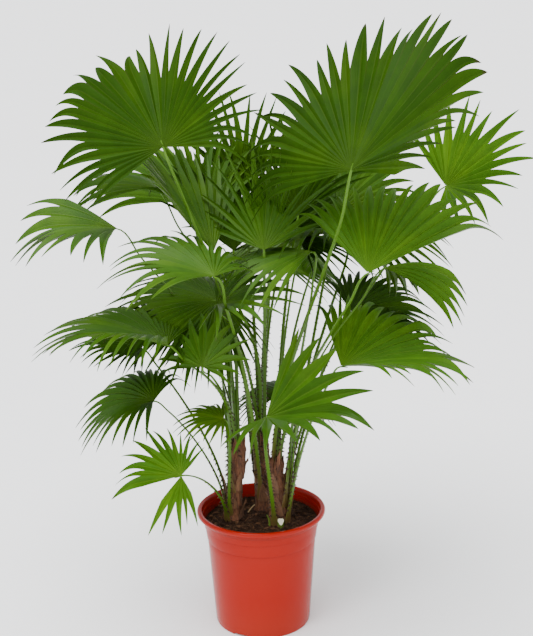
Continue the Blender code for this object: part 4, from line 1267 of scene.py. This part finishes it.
class PALM_OT_blades(bpy.types.Operator):
    """Build the pleated, drooping fan of every frond"""

    bl_idname = "palm.blades"
    bl_label = "Build Leaf Blades"

    def execute(self, context):
        settings = context.scene.palm_blades
        finishes = {}
        for tone, sheen in SHEENS.items():
            colour = tuple(getattr(settings, tone))
            rib = toned(colour, RIB_TONE, lift=0.004)
            finishes[tone] = [
                leaf_material(f"Leaf {tone}", colour, rib, RIB_WIDTH, sheen),
                leaf_material(f"Leaf {tone} light", toned(colour, LIGHTER_TONE), rib, RIB_WIDTH, sheen),
            ]
        under = leaf_material(
            "Leaf underside", tuple(settings.underside), UNDERSIDE_RIB, UNDERSIDE_RIB_WIDTH, UNDERSIDE_SHEEN)
        columns = len(COLUMNS)
        across = np.linspace(0.0, 1.0, columns)
        across = np.concatenate([across, across[::-1], [0.0]])
        for number, frond in enumerate(FRONDS + INNER_FRONDS):
            rng = np.random.default_rng(BLADE_SEED + number)
            rings, shares = fan_rings(frond, settings, rng)
            lighter = rng.uniform(size=len(rings)) < LIGHTER_SHARE
            surface = Surface()
            for picked, slot in ((~lighter, 0), (lighter, 1)):
                if picked.any():
                    slots = [slot] * columns + [2] * (columns - 1) + [slot]
                    surface.add(rings[picked], slots, across, shares[picked])
            made = surface.piece(f"fan_{frond.name}", [*finishes[frond.tone], under], crease=24.0)
            placed(made, "blade", *([] if frond in INNER_FRONDS else [f"blade_{frond.name}"]))
        return {"FINISHED"}


def grooved(angles):
    """Height round a petiole's section: round below, and flatter with a shallow groove on top."""
    height = np.sin(angles)
    above = np.maximum(height, 0.0)
    return np.where(height > 0, 0.62 * above**0.7 - 0.18 * above**4, height)


class PALM_OT_stalks(bpy.types.Operator):
    """Build the thorny petiole of every frond"""

    bl_idname = "palm.stalks"
    bl_label = "Build Petioles"

    def execute(self, context):
        settings = context.scene.palm_stalks
        green = stalk_material(tuple(settings.colour), tuple(settings.foot))
        dark = plain_material("Thorn", (0.040, 0.020, 0.012), 0.6)
        for number, frond in enumerate(FRONDS + INNER_FRONDS):
            rng = np.random.default_rng(STALK_SEED + number)
            inner = frond in INNER_FRONDS
            node = f"petiole_{frond.name}"
            line, radii = self.inner_line(frond) if inner else limb_line(node, PETIOLE_SIDES)
            surface = self.stalk(frond, line, radii, settings, rng)
            made = surface.piece(f"stalk_{frond.name}", [green, dark], crease=50.0)
            placed(made, "petiole", *([] if inner else [node]))
        return {"FINISHED"}

    def inner_line(self, frond):
        """Line of a young frond's petiole: a curve that leaves its stem's top upright and ends at its hub."""
        stem, _ = limb_line(f"stem_{INNER_STEMS[frond.name]}", STEM_SIDES)
        hub = np.array(frond.hub)
        foot = stem[-1] + (hub - stem[-1]) * np.array([0.05, 0.05, 0.0]) - UP * 0.005
        bend = foot + UP * 0.55 * (hub[2] - foot[2])
        t = np.linspace(0.0, 1.0, 8)[:, None]
        base = PETIOLE_RADIUS + PETIOLE_RADIUS_PER_REACH * frond.reach
        return (1 - t) ** 2 * foot + 2 * t * (1 - t) * bend + t**2 * hub, base * (1 - PETIOLE_TAPER * t[:, 0])

    def stalk(self, frond, line, radii, settings, rng):
        """Petiole along the packed one's line, half round with a shallow groove on top.

        Its foot widens into a clasping base that runs down into the stem, and its tip runs on under the hub.
        """
        midrib, normal, _ = frond_axes(frond)
        hub = np.array(frond.hub)
        plan = unit((line[-1] - line[0]) * np.array([1.0, 1.0, 0.0]))
        side = np.cross(plan, UP)
        inwards, sunk, past_hub, tip_from, tip_share = 0.004, 0.022, 0.012, 0.94, 0.06
        start = line[0] - plan * inwards - UP * sunk
        ends = [hub - normal * 0.0012, hub + midrib * past_hub - normal * 0.0010]
        path = smooth_path(np.concatenate([[start], line[:-1], ends]), 56)
        shares = np.linspace(0.0, 1.0, len(path))
        radius = on_line(line, radii, shares)[:, 0]
        length = float(np.linalg.norm(np.diff(path, axis=0), axis=1).sum())
        from_foot = shares * length
        clasp = np.exp(-((from_foot / FOOT_LENGTH) ** 2))
        near_tip = np.clip((shares - tip_from) / tip_share, 0.0, 1.0) ** 2
        wide = radius * (1.0 + 1.3 * clasp) * (1 - 0.55 * near_tip)
        deep = radius * (0.80 + 0.10 * clasp) * (1 - 0.60 * near_tip)
        surface = Surface()
        surface.add(tube_rings(path, side, wide, deep, 14, grooved)[None])
        self.thorns(surface, path, side, wide, from_foot, settings, rng)
        return surface

    def thorns(self, surface, path, side, wide, from_foot, settings, rng):
        """Hooked thorns on both margins: thin cones that leave sideways and curl back down the petiole."""
        start, end = 0.035, 0.72 * from_foot[-1]
        count = max(2, int((end - start) / settings.spacing))
        jitter, kept_share = 0.0022, 0.88
        shrink, seat, hook, stout = 0.65, 0.86, 0.55, 0.28
        places = np.linspace(start, end, count)
        places = np.concatenate([places + rng.uniform(-jitter, jitter, count) for _ in range(2)])
        hand = np.repeat([1.0, -1.0], count)
        kept = rng.uniform(size=2 * count) < kept_share
        places, hand = places[kept], hand[kept]
        frames = [path, *tube_frames(path, side)]
        middle, tangent, beside, lift = (between(places, from_foot, values) for values in frames)
        reach = np.interp(places, from_foot, wide)
        size = settings.thorn * (1.0 - shrink * places / end) * rng.uniform(0.75, 1.1, len(places))
        out = unit(beside * hand[:, None] + 0.15 * lift)
        root = middle + out * (reach * seat)[:, None]
        t = np.array([0.0, 0.45, 0.80, 1.0])
        outward = (size[:, None] * t)[..., None] * out[:, None]
        curl = (hook * size[:, None] * t**2.2)[..., None] * tangent[:, None]
        thick = (stout * size)[:, None] * np.array([1.0, 0.70, 0.36, 0.06])
        line = root[:, None] + outward - curl
        surface.add(tube_rings(line, THORN_SIDE, thick * 1.2, thick, 5), slots=1)


class PALM_OT_stage(bpy.types.Operator):
    """Build the floor, the soft lights and the camera"""

    bl_idname = "palm.stage"
    bl_label = "Build Stage"

    def execute(self, context):
        settings = context.scene.palm_stage
        self.floor(tuple(settings.floor))
        world = bpy.data.worlds.new("Studio air")
        context.scene.world = world
        world.use_nodes = True
        fill(world.node_tree.nodes["Background"], {"Color": (1.0, 1.0, 1.0), "Strength": 1.25})
        self.window("Window", (-1.9, -2.3, 2.9), aim=(0.0, -0.05, 0.55), size=1.4, energy=26.0)
        self.window("Reflector", (2.4, -1.9, 1.7), aim=(0.0, 0.0, 0.5), size=1.8, energy=12.0)
        self.daylight("Daylight", (-0.22, -0.30, 1.0), energy=5.0, spread=60.0)
        self.camera(context, settings)
        return {"FINISHED"}

    def floor(self, colour):
        """Wide flat floor under the pot, a thin slab whose top is level with the pot's underside."""
        half, thick = 90.0, 0.02
        corners = np.array([(-half, -half), (half, -half), (half, half), (-half, half)])
        surface = Surface()
        surface.add(np.stack([lifted(corners, -thick), lifted(corners, 0.0)])[None])
        finish = grain_material(
            "Studio floor", colour, toned(colour, 0.97),
            scale=6.0, amount=0.4, roughness=0.85, strength=0.02, distance=0.001)
        floor = surface.piece("floor", [finish])

    def window(self, name, place, aim, size, energy):
        """Square soft light that looks at a point."""
        light = bpy.data.lights.new(name, "AREA")
        light.size, light.energy = size, energy
        lamp = self.lamp(name, light, np.subtract(place, aim))
        lamp.location = place

    def daylight(self, name, away, energy, spread):
        """Even light over the whole floor from one side of the sky, spread over some degrees."""
        light = bpy.data.lights.new(name, "SUN")
        light.energy, light.angle = energy, math.radians(spread)
        self.lamp(name, light, np.array(away))

    def lamp(self, name, light, away):
        """Lamp that shines against a direction."""
        lamp = bpy.data.objects.new(name, light)
        tilt, turn = math.acos(away[2] / np.linalg.norm(away)), math.atan2(away[1], away[0])
        lamp.rotation_euler = (tilt, 0.0, turn + math.pi / 2)
        bpy.context.scene.collection.objects.link(lamp)
        return lamp

    def camera(self, context, settings):
        """Camera that looks along +Y and down by the pitch, rolled about its view."""
        view = bpy.data.cameras.new("Studio camera")
        view.sensor_fit, view.sensor_height, view.lens = "VERTICAL", 36.0, settings.lens
        view.clip_end = 200.0
        pitch, roll = settings.pitch, settings.roll
        ahead = np.array([0.0, math.cos(pitch), -math.sin(pitch)])
        above = np.cross(RIGHT, ahead)
        matrix = np.eye(4)
        matrix[:3, 0] = RIGHT * math.cos(roll) + above * math.sin(roll)
        matrix[:3, 1] = above * math.cos(roll) - RIGHT * math.sin(roll)
        matrix[:3, 2] = -ahead
        matrix[:3, 3] = settings.offset, -settings.distance, settings.height
        camera = bpy.data.objects.new("Studio camera", view)
        context.scene.collection.objects.link(camera)
        camera.matrix_world = Matrix(matrix.tolist())
        context.scene.camera = camera


class PALM_PT_panel(bpy.types.Panel):
    """Lists the settings and the steps that build the palm"""

    bl_label = "Potted Palm"
    bl_space_type = "VIEW_3D"
    bl_region_type = "UI"
    bl_category = "Palm"

    def draw(self, context):
        for name, group in SETTINGS.items():
            box = self.layout.box()
            box.label(text=group.__doc__)
            for prop in group.__annotations__:
                box.prop(getattr(context.scene, name), prop)
        for operator in STEPS:
            self.layout.operator(operator.bl_idname)


SETTINGS = {
    "palm_pot": PotSettings,
    "palm_soil": SoilSettings,
    "palm_stems": StemSettings,
    "palm_stalks": StalkSettings,
    "palm_blades": BladeSettings,
    "palm_stage": StageSettings,
}
STEPS = (
    PALM_OT_stage,
    PALM_OT_pot,
    PALM_OT_soil,
    PALM_OT_stems,
    PALM_OT_stub,
    PALM_OT_stalks,
    PALM_OT_blades,
)


def register():
    """Registers the settings, the operators and the panel."""
    for kind in (*SETTINGS.values(), *STEPS, PALM_PT_panel):
        bpy.utils.register_class(kind)
    for name, group in SETTINGS.items():
        setattr(bpy.types.Scene, name, bpy.props.PointerProperty(type=group))


def unregister():
    """Takes them away again."""
    for name in SETTINGS:
        delattr(bpy.types.Scene, name)
    for kind in (PALM_PT_panel, *reversed(STEPS), *reversed(list(SETTINGS.values()))):
        bpy.utils.unregister_class(kind)


def main():
    """Registers the classes and builds every piece in order."""
    register()
    bpy.ops.palm.stage()
    bpy.ops.palm.pot()
    bpy.ops.palm.soil()
    bpy.ops.palm.stems()
    bpy.ops.palm.stub()
    bpy.ops.palm.stalks()
    bpy.ops.palm.blades()


if __name__ == "__main__":
    main()
